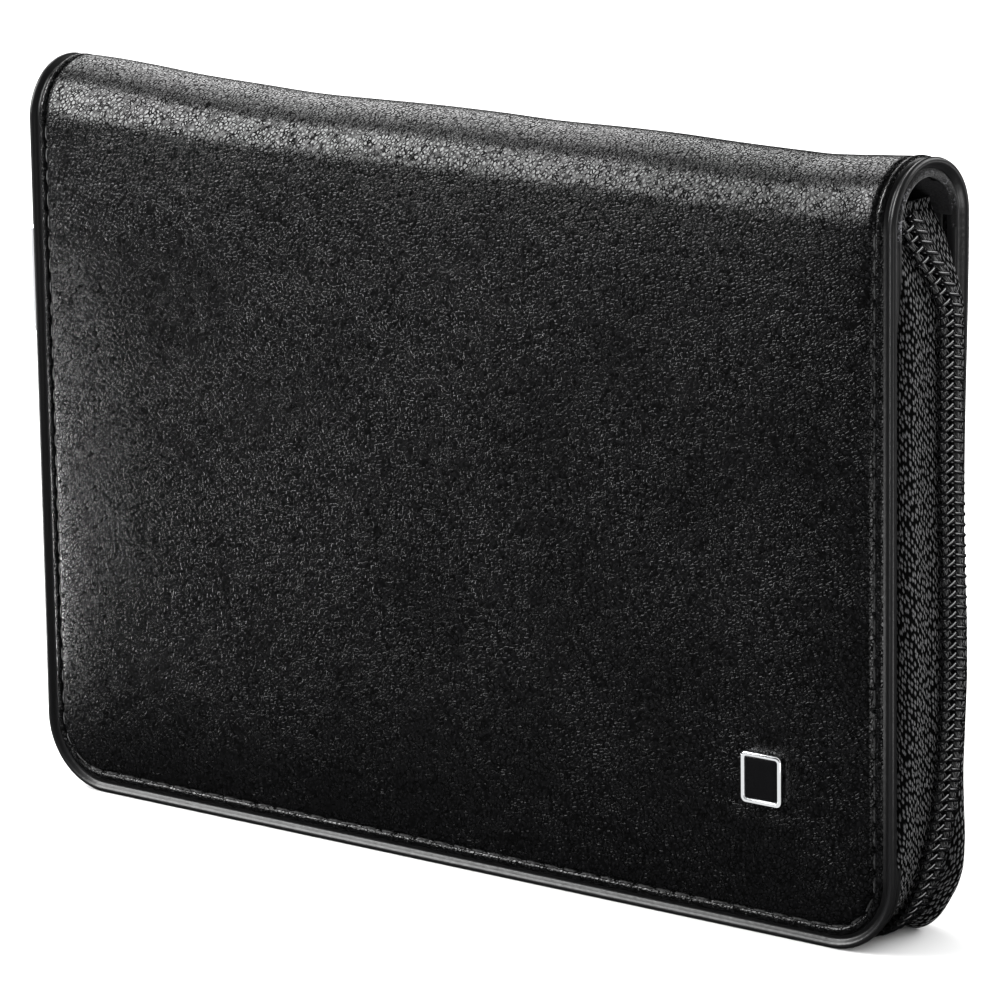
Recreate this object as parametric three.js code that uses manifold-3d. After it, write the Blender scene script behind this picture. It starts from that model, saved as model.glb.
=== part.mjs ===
import * as THREE from 'three';
import { mergeVertices } from 'three/addons/utils/BufferGeometryUtils.js';
import Module from 'manifold-3d';

// A zip-around manicure case standing on its long edge: two stiff leather covers joined by an
// arched leather spine, a coil zip round the other three sides, and five tools inside.
// Millimetres, X along the width, the front cover towards -Y, Z up, origin on the floor.

const wasm = await Module();
wasm.setup();

// Case outline
const caseSize = { width: 150, height: 107.2, innerDepth: 11.5, cornerRadius: 10.5 };

// Layers of a cover, from the outside in, with the glue line between them
const layers = { leather: 1, padding: 0.3, board: 0.8, lining: 0.5, glue: 0.05 };

// Turned leather border round the edge of a cover
const border = { width: 2.6, edgeRound: 0.6 };

// Padded crown of a cover: its height, and how far in from the edge it takes to rise
const crown = { frontHeight: 1.3, backHeight: 1, rise: 20, edgeRing: 4 };
const crownRingShares = [0.25, 0.5, 0.75, 1];

// Arched spine: the fold line gap, the end bindings and the sag between them
const spine = { foldGap: 0.3, lining: 1.1, bindingProud: 0.3, sag: 1.1 };

// Coil zip: tooth spacing along the chain, and the cross-section of each half
const zip = {
  pitch: 1.4,
  toothGap: 0.1,
  halfWidth: 2.85,
  rootReach: 1,
  tipReach: 0.55,
  thickness: 1.8,
  seat: 0.15,
  tape: 0.5,
  tapeEdge: 1.5,
  tapeStart: 1.3,
  tapeBend: 0.55,
};

// How far the crest of the chain stands out past the borders along its way
const chainRun = {
  slideCrest: 1,
  bottomCrest: -0.1,
  sideCrest: 3.25,
  riseStart: 6,
  riseEnd: 30,
  tuckBelowFold: 12.7,
  tuckPastFold: 2.1,
  tuckCrest: -1,
  tuckGap: 0.2,
};

// Slider of the zip, at the top of the left side with the zip closed
const slider = {
  length: 9,
  belowFold: 1.5,
  wall: 0.7,
  shoulder: 3,
  plate: 0.9,
  play: 0.2,
  flare: 0.65,
  dividerHalf: 1.1,
  dividerLength: 4.2,
  dividerGap: 1,
  slotPlay: 0.22,
};

// Bridge over the slider and the pull that hangs from it
const bridge = { width: 2, strap: 0.85, reach: 3.3, shoulder: 1.5, foot: 1 };
const pull = {
  length: 28.5,
  width: 9.4,
  neckWidth: 4.6,
  thickness: 1.2,
  eyeLength: 4.6,
  eyeWidth: 2.7,
  play: 0.35,
  tipRadius: 2.2,
};

// Stops clamped on the tapes above the slider's mouth
const stop = { length: 1.2, clearance: 0.25, width: 1.5 };

// Bare plate on the front cover
const badge = {
  size: 6.6,
  fromRight: 20.8,
  fromFloor: 22,
  thickness: 0.9,
  frameWidth: 0.55,
  cornerRadius: 0.8,
  enamelDepth: 0.35,
};

// Panel that carries the tools, and the slip pocket opposite
const panel = { thickness: 1, margin: 9, radius: 5, bottom: 5.5, topGap: 2.55 };
const pocket = { thickness: 0.7, margin: 9, radius: 5, bottom: 5.5, height: 54.5 };

// Straps that hold the tools
const strap = { thickness: 0.6, width: 6, foot: 2.4, play: 0.4 };

const toolSeat = 0.3;

const scissors = {
  bottom: 7.6,
  belowFold: 8.7,
  bladeLength: 28,
  bladeWidth: 3.4,
  thickness: 1.6,
  bossRadius: 3.9,
  shankWidth: 3,
  ringSpread: 10.4,
  ringRadius: 9.4,
  ringBar: 2.3,
  screwRadius: 1.1,
  headRadius: 2.3,
  headThickness: 0.5,
  play: 0.3,
  strapHeight: 6,
  openSlack: 1.9,
};

const tweezers = { bottom: 8, belowFold: 4.7, armThickness: 1.1, weld: 0.1, bow: 0.9, tipGap: 0.35 };
const tweezerLengthShares = [0, 0.06, 0.3, 0.6, 0.85, 1];
const tweezerWidths = [6.5, 8.4, 8.2, 6, 3.6, 2.4];
const tweezerBowShares = [0, 0, 0.75, 1, 0.6, 0];

const nailFile = { bottom: 8, belowFold: 3.7 };
const fileLengthShares = [0, 0.05, 0.28, 0.36, 0.42, 0.9, 1];
const fileWidths = [5, 8, 7, 4.6, 6.4, 6.2, 1.2];
const fileThicknesses = [1.8, 2.8, 2.6, 2.2, 1.2, 1.1, 0.8];

const pusher = { bottom: 8, belowFold: 4.7, sides: 8 };
const pusherLengthShares = [0, 0.05, 0.12, 0.3, 0.7, 0.86, 0.95, 1];
const pusherWidths = [3.6, 4.6, 2.6, 4, 4, 2.6, 5, 3.4];
const pusherThicknesses = [0.9, 1.2, 2.2, 3.6, 3.6, 2.2, 1.2, 0.9];

const clipper = {
  bottom: 9,
  length: 58,
  width: 11,
  tailWidth: 8,
  sheet: 1.3,
  pocketGap: 0.9,
  jawLength: 4,
  jawGap: 0.35,
  jawBendShare: 0.14,
  pinRadius: 1.5,
  pinFromJaw: 11,
  headRadius: 2.2,
  headThickness: 0.6,
  play: 0.3,
  leverThickness: 1.4,
  leverLength: 44,
  leverTipLift: 0.8,
};

const cutOverrun = 5;
const cornerSteps = 6;
const roundSteps = 20;
const riseSteps = 9;
const tuckSteps = 7;

// Places that follow from the sizes above
const halfWidth = caseSize.width / 2;
const innerFace = caseSize.innerDepth / 2;
const coverWall = layers.leather + layers.padding + layers.board + layers.lining + 3 * layers.glue;
const halfDepth = innerFace + coverWall;
const foldHeight = caseSize.height - halfDepth;
const coverTop = foldHeight - spine.foldGap / 2;
const panelFace = innerFace - layers.glue - panel.thickness;
const toolBack = panelFace - toolSeat;
const pocketFace = layers.glue + pocket.thickness - innerFace;
const mouthHeight = foldHeight - slider.belowFold;
const tuckStart = foldHeight - chainRun.tuckBelowFold;
const tuckEnd = foldHeight + chainRun.tuckPastFold;
const tuckDrift = innerFace - zip.halfWidth - chainRun.tuckGap;
const sliderTail = zip.halfWidth + slider.play + slider.wall;
const sliderMouth = sliderTail + slider.flare;

// Width of the panel that each tool takes up, and the places that leave even gaps between them
const strapZone = (inside) => inside + 2 * (strap.play + strap.thickness / 2 + strap.foot);
const zones = {
  clipper: strapZone(clipper.width),
  pusher: strapZone(Math.max(...pusherWidths)),
  tweezers: strapZone(Math.max(...tweezerWidths)),
  nailFile: strapZone(Math.max(...fileWidths)),
  scissors: 2 * (scissors.ringSpread + scissors.ringRadius),
};
const places = evenPlaces(zones, 2 * (halfWidth - panel.margin));
const pivotHeight = foldHeight - scissors.belowFold - scissors.bladeLength;
const toolLength = (tool) => foldHeight - tool.belowFold - tool.bottom;

const front = -1;
const back = 1;

// Materials
const finish = (color, roughness, metalness = 0) =>
  new THREE.MeshStandardMaterial({ color, roughness, metalness });
const blackLeather = () => finish('#1b1b1c', 0.55);
const borderLeather = () => finish('#202021', 0.45);
const liningCloth = () => finish('#26262a', 0.9);
const foam = () => finish('#4a4a4a', 0.95);
const board = () => finish('#77726a', 0.9);
const wovenTape = () => finish('#161617', 0.85);
const nylon = () => finish('#111112', 0.35);
const chrome = () => finish('#d8d9db', 0.15, 1);
const enamel = () => finish('#0d0d0e', 0.2);
const steel = () => finish('#b9bbbd', 0.3, 1);

const group = new THREE.Group();

function addPiece(name, geometry, material) {
  const mesh = new THREE.Mesh(geometry, material);
  mesh.name = name;
  group.add(mesh);
}

const mix = (a, b, share) => a + (b - a) * share;

function evenPlaces(widths, room) {
  const entries = Object.entries(widths);
  const taken = entries.reduce((sum, [, width]) => sum + width, 0);
  const gap = (room - taken) / (entries.length + 1);
  let edge = -room / 2;
  return Object.fromEntries(entries.map(([name, width]) => {
    const middle = edge + gap + width / 2;
    edge += gap + width;
    return [name, middle];
  }));
}

function smooth(value, start, end) {
  const share = THREE.MathUtils.clamp((value - start) / (end - start), 0, 1);
  return share * share * (3 - 2 * share);
}

// Closed geometry from points and triangles, turned so that its faces point out
function closedGeometry(points, triangles) {
  let volume = 0;
  for (const [a, b, c] of triangles) {
    volume += points[a].dot(new THREE.Vector3().crossVectors(points[b], points[c]));
  }
  const order = volume < 0 ? triangles.map(([a, b, c]) => [a, c, b]) : triangles;
  const geometry = new THREE.BufferGeometry();
  const flat = points.flatMap((point) => point.toArray());
  geometry.setAttribute('position', new THREE.Float32BufferAttribute(flat, 3));
  geometry.setIndex(order.flat());
  return geometry;
}

// Skin over rings of points, closed at both ends by strips between facing points
function skin(rings) {
  const count = rings[0].length;
  const points = rings.flat();
  const triangles = [];
  for (let ring = 0; ring < rings.length - 1; ring += 1) {
    for (let i = 0; i < count; i += 1) {
      const next = (i + 1) % count;
      const a = ring * count + i;
      const b = ring * count + next;
      triangles.push([a, b, b + count], [a, b + count, a + count]);
    }
  }
  const last = (rings.length - 1) * count;
  for (let i = 0; i < count / 2 - 1; i += 1) {
    const facing = count - 1 - i;
    triangles.push([i, facing, i + 1], [i + 1, facing, facing - 1]);
    triangles.push([last + i, last + i + 1, last + facing], [last + i + 1, last + facing - 1, last + facing]);
  }
  return closedGeometry(points, triangles);
}

// Both sides of an open line of [across, along] points, as one ring
function thicken(line, thickness) {
  const sides = [[], []];
  line.forEach((point, i) => {
    const before = line[Math.max(i - 1, 0)];
    const after = line[Math.min(i + 1, line.length - 1)];
    const into = new THREE.Vector2(point[0] - before[0], point[1] - before[1]).normalize();
    const out = new THREE.Vector2(after[0] - point[0], after[1] - point[1]).normalize();
    const along = into.add(out).normalize();
    const near = i === 0 || i === line.length - 1;
    const leg = new THREE.Vector2(after[0] - point[0], after[1] - point[1]).normalize();
    const spread = near ? thickness / 2 : thickness / 2 / Math.max(along.dot(leg), 0.5);
    sides[0].push([point[0] - along.y * spread, point[1] + along.x * spread]);
    sides[1].unshift([point[0] + along.y * spread, point[1] - along.x * spread]);
  });
  return sides.flat();
}

function toManifold(geometry) {
  const bare = new THREE.BufferGeometry();
  bare.setAttribute('position', geometry.getAttribute('position').clone());
  if (geometry.index) bare.setIndex(geometry.index.clone());
  const merged = mergeVertices(bare);
  return new wasm.Manifold(new wasm.Mesh({
    numProp: 3,
    vertProperties: new Float32Array(merged.getAttribute('position').array),
    triVerts: new Uint32Array(merged.index.array),
  }));
}

function fromManifold(solid) {
  const mesh = solid.getMesh();
  const geometry = new THREE.BufferGeometry();
  geometry.setAttribute('position', new THREE.Float32BufferAttribute(mesh.vertProperties, 3));
  geometry.setIndex(Array.from(mesh.triVerts));
  return geometry;
}

const cut = (solid, ...tools) =>
  fromManifold(tools.reduce((left, tool) => left.subtract(toManifold(tool)), toManifold(solid)));
const common = (solid, other) => fromManifold(toManifold(solid).intersect(toManifold(other)));
const join = (solid, other) => fromManifold(toManifold(solid).add(toManifold(other)));

function shapeFrom(points) {
  return new THREE.Shape(points.map(([across, up]) => new THREE.Vector2(across, up)));
}

function circle(x, z, radius) {
  return shapeFrom(Array.from({ length: roundSteps }, (_, i) => {
    const angle = (2 * Math.PI * i) / roundSteps;
    return [x + radius * Math.cos(angle), z + radius * Math.sin(angle)];
  }));
}

function extrude(shape, depth, curveSegments = cornerSteps) {
  return new THREE.ExtrudeGeometry(shape, { depth, bevelEnabled: false, curveSegments });
}

// Solid with its outline in X and Z, lying between two depths, the smaller one first
function facingSolid(shape, nearY, farY, curveSegments = cornerSteps) {
  const geometry = extrude(shape, farY - nearY, curveSegments);
  return geometry.rotateX(Math.PI / 2).translate(0, farY, 0);
}

// Solid with its outline in Y and Z, lying between two places along X, the smaller one first
function sideSolid(shape, nearX, farX, curveSegments = cornerSteps) {
  const turn = new THREE.Matrix4().makeBasis(
    new THREE.Vector3(0, 1, 0),
    new THREE.Vector3(0, 0, 1),
    new THREE.Vector3(1, 0, 0),
  );
  return extrude(shape, farX - nearX, curveSegments).applyMatrix4(turn).translate(nearX, 0, 0);
}

// Round bar or head along Y
function pinSolid(radius, nearY, farY, x, z) {
  const geometry = new THREE.CylinderGeometry(radius, radius, farY - nearY, roundSteps);
  return geometry.translate(x, (nearY + farY) / 2, z);
}

// Outline of a cover layer: straight top, two round bottom corners, listed left to right
function coverOutline(half, bottom, top, radius) {
  const points = [[-half, top]];
  for (let i = 0; i <= cornerSteps; i += 1) {
    const angle = Math.PI + (Math.PI / 2) * (i / cornerSteps);
    points.push([-half + radius + radius * Math.cos(angle), bottom + radius + radius * Math.sin(angle)]);
  }
  const mirrored = points.map(([x, z]) => [-x, z]).reverse();
  return [...points, ...mirrored];
}

// Outline of a cover layer drawn in from the border by a distance
function insetOutline(inset) {
  const edge = border.width + layers.glue + inset;
  const radius = Math.max(caseSize.cornerRadius - edge, crown.edgeRing);
  return coverOutline(halfWidth - edge, edge, coverTop - inset, radius);
}

const crownAt = (height, inset) => height * Math.sin((Math.PI / 2) * Math.min(inset / crown.rise, 1));

const outlineRing = (outline, y) => outline.map(([x, z]) => new THREE.Vector3(x, y, z));

// Rings of a crowned face, from the edge to the flat middle
function crownRings(side, depth, height) {
  const edge = outlineRing(insetOutline(0), side * depth);
  const inner = crownRingShares.map((share) => {
    const inset = share * crown.rise;
    return outlineRing(insetOutline(inset), side * (depth + crownAt(height, inset)));
  });
  return [edge, ...inner];
}

function flatLayer(side, outer, thickness) {
  const outline = insetOutline(0);
  return skin([outlineRing(outline, side * outer), outlineRing(outline, side * (outer - thickness))]);
}

// Way round the sides and bottom of a cover, measured from the top of the left side
const sideRun = coverTop - caseSize.cornerRadius;
const cornerRun = (Math.PI / 2) * caseSize.cornerRadius;
const bottomRun = caseSize.width - 2 * caseSize.cornerRadius;
const wholeRun = 2 * sideRun + 2 * cornerRun + bottomRun;

function edgeFrame(run) {
  const middle = wholeRun / 2;
  const hand = run < middle ? -1 : 1;
  const fromTop = run < middle ? run : wholeRun - run;
  const radius = caseSize.cornerRadius;
  if (fromTop <= sideRun) {
    return { x: hand * halfWidth, z: coverTop - fromTop, outX: hand, outZ: 0 };
  }
  if (fromTop <= sideRun + cornerRun) {
    const angle = (fromTop - sideRun) / radius;
    const outX = hand * Math.cos(angle);
    const outZ = -Math.sin(angle);
    return { x: hand * (halfWidth - radius) + radius * outX, z: radius + radius * outZ, outX, outZ };
  }
  const along = fromTop - sideRun - cornerRun;
  return { x: hand * (halfWidth - radius - along), z: 0, outX: 0, outZ: -1 };
}

function edgePoint(run, offset, y) {
  const frame = edgeFrame(run);
  return new THREE.Vector3(frame.x + frame.outX * offset, y, frame.z + frame.outZ * offset);
}

const leftRunAt = (height) => coverTop - height;
const rightRunAt = (height) => wholeRun - (coverTop - height);

// Crest of the chain past the edge, and its drift towards the front, along the way round
function crestAt(run) {
  if (run < wholeRun / 2) {
    const share = smooth(run, sideRun, sideRun + cornerRun);
    return mix(chainRun.slideCrest, chainRun.bottomCrest, share);
  }
  const height = edgeFrame(run).z;
  const risen = smooth(height, chainRun.riseStart, chainRun.riseEnd);
  const standing = mix(chainRun.bottomCrest, chainRun.sideCrest, risen);
  return mix(standing, chainRun.tuckCrest, smooth(height, tuckStart, tuckEnd));
}

function driftAt(run) {
  if (run < wholeRun / 2) return 0;
  return -tuckDrift * smooth(edgeFrame(run).z, tuckStart, tuckEnd);
}

// Evenly spaced places along a stretch, without its first one
function stepsAlong(start, end, count) {
  return Array.from({ length: count }, (_, i) => mix(start, end, (i + 1) / count));
}

const leftCornerEnd = sideRun + cornerRun;
const rightCornerStart = leftCornerEnd + bottomRun;
const rightCornerEnd = rightCornerStart + cornerRun;

function borderRuns() {
  return [
    0,
    sideRun,
    ...stepsAlong(sideRun, leftCornerEnd, cornerSteps),
    rightCornerStart,
    ...stepsAlong(rightCornerStart, rightCornerEnd, cornerSteps),
    wholeRun,
  ];
}

function coverBorder(side) {
  const profile = [
    [-border.width, innerFace],
    [-border.edgeRound, innerFace],
    [0, innerFace + border.edgeRound],
    [0, halfDepth - border.edgeRound],
    [-border.edgeRound, halfDepth],
    [-border.width, halfDepth],
  ];
  return skin(borderRuns().map((run) => profile.map(([offset, depth]) => edgePoint(run, offset, side * depth))));
}

// Zip tape of one cover: from under the border out to its edge below the chain
function zipTape(side) {
  const tapeTopLeft = leftRunAt(coverTop - layers.glue);
  const runs = [
    tapeTopLeft,
    sideRun,
    ...stepsAlong(sideRun, leftCornerEnd, cornerSteps),
    rightCornerStart,
    ...stepsAlong(rightCornerStart, rightCornerEnd, cornerSteps),
    ...stepsAlong(rightCornerEnd, rightRunAt(chainRun.riseEnd), riseSteps),
    rightRunAt(tuckStart),
    ...stepsAlong(rightRunAt(tuckStart), rightRunAt(tuckEnd), tuckSteps),
  ];
  const start = innerFace - layers.glue - zip.tape / 2;
  const rings = runs.map((run) => {
    const level = crestAt(run) - zip.thickness - zip.seat - zip.tape / 2;
    const drift = side * driftAt(run);
    const heel = Math.min(zip.halfWidth + drift, start - zip.tapeBend);
    const edge = Math.min(zip.tapeEdge + drift, heel - zip.tapeBend);
    const bend = mix(start, heel, 1 / 4);
    const root = Math.min(-zip.tapeStart, level);
    const line = [
      [root, start],
      [mix(root, level, 2 / 3), bend],
      [level, heel],
      [level, edge],
    ];
    return thicken(line, zip.tape).map(([offset, depth]) => edgePoint(run, offset, side * depth));
  });
  return skin(rings);
}

// One half of the coil chain: ridged teeth on a wedge-shaped back, two teeth to each step of it
function zipChain(side) {
  const start = leftRunAt(mouthHeight - slider.dividerLength - slider.dividerGap);
  const end = rightRunAt(tuckEnd) - zip.pitch;
  const pairs = Math.round((end - start) / (2 * zip.pitch));
  const pitch = (end - start) / (2 * pairs);
  const shift = side === front ? 0 : pitch / 2;
  const points = [];
  const triangles = [];
  const place = (run, reach, drop) => {
    points.push(edgePoint(run, crestAt(run) - drop, driftAt(run) + side * reach));
    return points.length - 1;
  };
  const heelAt = (run) => ({
    top: place(run, zip.halfWidth, 0),
    low: place(run, zip.halfWidth, zip.thickness),
  });
  const toothAt = (run) => {
    const half = (zip.pitch / 2 - zip.toothGap) / 2;
    const ends = (reach) => ({
      before: place(run - half, reach, zip.thickness),
      ridge: place(run, reach, 0),
      after: place(run + half, reach, zip.thickness),
    });
    return { root: ends(zip.rootReach), tip: ends(-zip.tipReach) };
  };
  const quad = (a, b, c, d) => triangles.push([a, b, c], [a, c, d]);
  const fan = (heel, nextHeel, line) => {
    const turn = Math.floor(line.length / 2);
    for (let i = 0; i < turn; i += 1) triangles.push([heel, line[i], line[i + 1]]);
    triangles.push([heel, line[turn], nextHeel]);
    for (let i = turn; i < line.length - 1; i += 1) triangles.push([nextHeel, line[i], line[i + 1]]);
  };
  let heel = heelAt(start + shift);
  let closing = place(start + shift, zip.rootReach, zip.thickness);
  triangles.push([heel.top, heel.low, closing]);
  for (let pair = 0; pair < pairs; pair += 1) {
    const first = start + shift + 2 * pair * pitch;
    const teeth = [toothAt(first + pitch / 2), toothAt(first + (3 / 2) * pitch)];
    const nextHeel = heelAt(first + 2 * pitch);
    const nextClosing = place(first + 2 * pitch, zip.rootReach, zip.thickness);
    const upper = [closing];
    const lower = [closing];
    for (const { root, tip } of teeth) {
      upper.push(root.before, root.ridge, root.after);
      lower.push(root.before, root.after);
      quad(root.before, tip.before, tip.ridge, root.ridge);
      quad(root.ridge, tip.ridge, tip.after, root.after);
      quad(root.after, tip.after, tip.before, root.before);
      triangles.push([tip.before, tip.after, tip.ridge]);
    }
    upper.push(nextClosing);
    lower.push(nextClosing);
    fan(heel.top, nextHeel.top, upper);
    fan(nextHeel.low, heel.low, lower.reverse());
    quad(heel.top, nextHeel.top, nextHeel.low, heel.low);
    heel = nextHeel;
    closing = nextClosing;
  }
  triangles.push([heel.top, closing, heel.low]);
  return closedGeometry(points, triangles);
}

// Stop on one tape, just above the mouth of the slider
function topStop(side) {
  const bottom = mouthHeight + stop.clearance;
  const near = Math.min(side * zip.tapeEdge, side * (zip.tapeEdge + stop.width));
  const outline = [
    [near, bottom],
    [near + stop.width, bottom],
    [near + stop.width, bottom + stop.length],
    [near, bottom + stop.length],
  ];
  const crest = -halfWidth - chainRun.slideCrest;
  return sideSolid(shapeFrom(outline), crest, crest + zip.thickness);
}

function makeCover(side, name, height) {
  const leatherInner = halfDepth - layers.leather;
  const paddingOuter = leatherInner - layers.glue;
  const paddingInner = paddingOuter - layers.padding;
  const boardOuter = paddingInner - layers.glue;
  const liningOuter = boardOuter - layers.board - layers.glue;
  const outerFace = crownRings(side, halfDepth, height);
  const innerRings = crownRings(side, leatherInner, height).reverse();
  addPiece(`${name}_leather`, skin([...innerRings, ...outerFace]), blackLeather());
  const paddingBase = outlineRing(insetOutline(0), side * paddingInner);
  addPiece(`${name}_padding`, skin([paddingBase, ...crownRings(side, paddingOuter, height)]), foam());
  addPiece(`${name}_board`, flatLayer(side, boardOuter, layers.board), board());
  addPiece(`${name}_lining`, flatLayer(side, liningOuter, layers.lining), liningCloth());
  addPiece(`${name}_border`, coverBorder(side), borderLeather());
  addPiece(`${name}_zip_tape`, zipTape(side), wovenTape());
  addPiece(`${name}_zip_chain`, zipChain(side), nylon());
  addPiece(`${name}_zip_stop`, topStop(side), chrome());
}

// Half ring over the fold lines, between two radii, with its crown pulled down by a drop
function archRing(x, outer, inner, drop) {
  const base = foldHeight + spine.foldGap / 2;
  const arc = (radius) => Array.from({ length: 2 * cornerSteps + 1 }, (_, i) => {
    const angle = Math.PI * (i / (2 * cornerSteps));
    const rise = radius - spine.foldGap / 2 - drop;
    return new THREE.Vector3(x, radius * Math.cos(angle), base + rise * Math.sin(angle));
  });
  return [...arc(outer), ...arc(inner).reverse()];
}

const spineSteps = 8;

function spineShell(outer, inner) {
  const half = halfWidth - border.width - layers.glue;
  const rings = Array.from({ length: spineSteps + 1 }, (_, i) => {
    const share = (2 * i) / spineSteps - 1;
    const sag = spine.sag * (1 - share ** 4);
    return archRing(half * share, outer, inner, spine.bindingProud + sag);
  });
  return skin(rings);
}

function spineBinding(hand) {
  const inner = halfDepth - layers.leather - layers.glue - spine.lining;
  const near = hand * (halfWidth - border.width);
  const far = hand * halfWidth;
  const round = hand * (halfWidth - border.edgeRound);
  const rings = [
    archRing(near, halfDepth, inner, 0),
    archRing(round, halfDepth, inner, 0),
    archRing(far, halfDepth - border.edgeRound, inner, 0),
  ];
  return skin(rings);
}

function makeSpine() {
  const liningOuter = halfDepth - layers.leather - layers.glue;
  addPiece('spine_leather', spineShell(halfDepth, halfDepth - layers.leather), blackLeather());
  addPiece('spine_lining', spineShell(liningOuter, liningOuter - spine.lining), liningCloth());
  addPiece('spine_binding_left', spineBinding(-1), borderLeather());
  addPiece('spine_binding_right', spineBinding(1), borderLeather());
}

function roundedSquare(size, radius) {
  const half = size / 2;
  const shape = new THREE.Shape();
  shape.absarc(half - radius, half - radius, radius, 0, Math.PI / 2, false);
  shape.absarc(radius - half, half - radius, radius, Math.PI / 2, Math.PI, false);
  shape.absarc(radius - half, radius - half, radius, Math.PI, (3 / 2) * Math.PI, false);
  shape.absarc(half - radius, radius - half, radius, (3 / 2) * Math.PI, 2 * Math.PI, false);
  return shape;
}

// Frame of the bare plate with its dark enamel window set below the rim
function makeBadge() {
  const x = halfWidth - badge.fromRight;
  const z = badge.fromFloor;
  const inset = badge.fromRight + badge.size / 2 - border.width;
  const seat = -halfDepth - crownAt(crown.frontHeight, inset) - layers.glue;
  const plate = facingSolid(roundedSquare(badge.size, badge.cornerRadius), seat - badge.thickness, seat, 3);
  const windowSize = badge.size - 2 * badge.frameWidth;
  const windowRadius = badge.cornerRadius - badge.frameWidth / 2;
  const well = seat - badge.thickness + badge.enamelDepth + layers.glue;
  const opening = facingSolid(roundedSquare(windowSize, windowRadius), seat - badge.thickness - cutOverrun, well, 3);
  const frame = cut(plate, opening).translate(x, 0, z);
  const inlaySize = windowSize - 2 * layers.glue;
  const inlay = facingSolid(
    roundedSquare(inlaySize, windowRadius),
    well - badge.enamelDepth + layers.glue,
    well - layers.glue,
    3,
  );
  addPiece('badge_frame', frame, chrome());
  addPiece('badge_enamel', inlay.translate(x, 0, z), enamel());
}

// Slider: outer and inner plates held together by the divider, with flanges round the chain
function sliderOutline() {
  const top = mouthHeight;
  const bottom = top - slider.length;
  const neck = top - slider.shoulder;
  const half = [
    [0, bottom],
    [sliderTail - border.edgeRound, bottom],
    [sliderTail, bottom + border.edgeRound],
    [sliderTail, mix(bottom, neck, 1 / 2)],
    [sliderMouth, neck],
    [sliderMouth, top - border.edgeRound],
    [sliderMouth - border.edgeRound, top],
    [0, top],
  ];
  const other = half.slice(1, -1).map(([y, z]) => [-y, z]).reverse();
  return shapeFrom([...half, ...other]);
}

// Space round the divider, as wide as asked at the tail and at the mouth
function passageOutline(tailHalf, mouthHalf) {
  const above = mouthHeight + cutOverrun;
  const below = mouthHeight - slider.length - cutOverrun;
  const tip = mouthHeight - slider.dividerLength;
  const widest = mix(tip, mouthHeight, 2 / 3);
  const half = [
    [tailHalf, below],
    [tailHalf, tip],
    [mouthHalf, mouthHeight],
    [mouthHalf, above],
    [slider.dividerHalf, above],
    [slider.dividerHalf, widest],
    [0, tip],
  ];
  const other = half.slice(0, -1).map(([y, z]) => [-y, z]).reverse();
  return shapeFrom([...half, ...other]);
}

function makeSlider() {
  const outward = (offset) => -halfWidth - offset;
  const chainTop = chainRun.slideCrest + slider.play;
  const chainLow = chainRun.slideCrest - zip.thickness - slider.play;
  const tapeHigh = chainRun.slideCrest - zip.thickness - zip.seat + slider.slotPlay;
  const tapeLow = tapeHigh - zip.tape - 2 * slider.slotPlay;
  const outerFace = chainTop + slider.plate;
  const innerPlate = tapeLow - slider.plate;
  const block = sideSolid(sliderOutline(), outward(outerFace), outward(innerPlate));
  const passage = passageOutline(zip.halfWidth + slider.play, zip.halfWidth + slider.play + slider.flare);
  const channel = sideSolid(passage, outward(chainTop), outward(chainLow));
  const wide = sliderMouth + cutOverrun;
  const slot = sideSolid(passageOutline(wide, wide), outward(tapeHigh), outward(tapeLow));
  addPiece('slider_body', cut(block, channel, slot), chrome());

  const axis = outerFace + pull.play + pull.thickness / 2;
  const underside = axis + pull.thickness / 2 + pull.play;
  const middle = mouthHeight - slider.length / 2;
  const centreLine = underside + bridge.strap / 2;
  const footLine = outerFace + layers.glue + bridge.strap / 2;
  const arch = [
    [footLine, -bridge.reach - bridge.foot],
    [footLine, -bridge.reach],
    [centreLine, -bridge.shoulder],
    [centreLine, bridge.shoulder],
    [footLine, bridge.reach],
    [footLine, bridge.reach + bridge.foot],
  ];
  const strapRing = thicken(arch, bridge.strap);
  const bridgeRing = (y) => strapRing.map(([offset, up]) => new THREE.Vector3(outward(offset), y, middle + up));
  addPiece('slider_bridge', skin([bridgeRing(-bridge.width / 2), bridgeRing(bridge.width / 2)]), chrome());
  addPiece('zip_pull', zipPull(outward(axis), middle), chrome());
}

// Pull plate hanging down, with a bar under the bridge and an eye that the bridge passes through
function zipPull(x, z) {
  const bar = pull.thickness / 2;
  const neck = pull.neckWidth / 2;
  const wide = pull.width / 2;
  const tip = bar - pull.length;
  const shoulder = -bar - pull.eyeLength - pull.thickness;
  const shape = new THREE.Shape();
  shape.moveTo(-neck, bar);
  shape.lineTo(-neck, shoulder);
  shape.quadraticCurveTo(-neck, shoulder - pull.tipRadius, -wide, shoulder - 2 * pull.tipRadius);
  shape.lineTo(-wide, tip + pull.tipRadius);
  shape.absarc(pull.tipRadius - wide, tip + pull.tipRadius, pull.tipRadius, Math.PI, (3 / 2) * Math.PI, false);
  shape.absarc(wide - pull.tipRadius, tip + pull.tipRadius, pull.tipRadius, (3 / 2) * Math.PI, 2 * Math.PI, false);
  shape.lineTo(wide, shoulder - 2 * pull.tipRadius);
  shape.quadraticCurveTo(neck, shoulder - pull.tipRadius, neck, shoulder);
  shape.lineTo(neck, bar);
  const eye = pull.eyeWidth / 2;
  shape.holes.push(shapeFrom([
    [-eye, -bar],
    [eye, -bar],
    [eye, -bar - pull.eyeLength],
    [-eye, -bar - pull.eyeLength],
  ]));
  return sideSolid(shape, x - bar, x + bar, 4).translate(0, 0, z);
}

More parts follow.
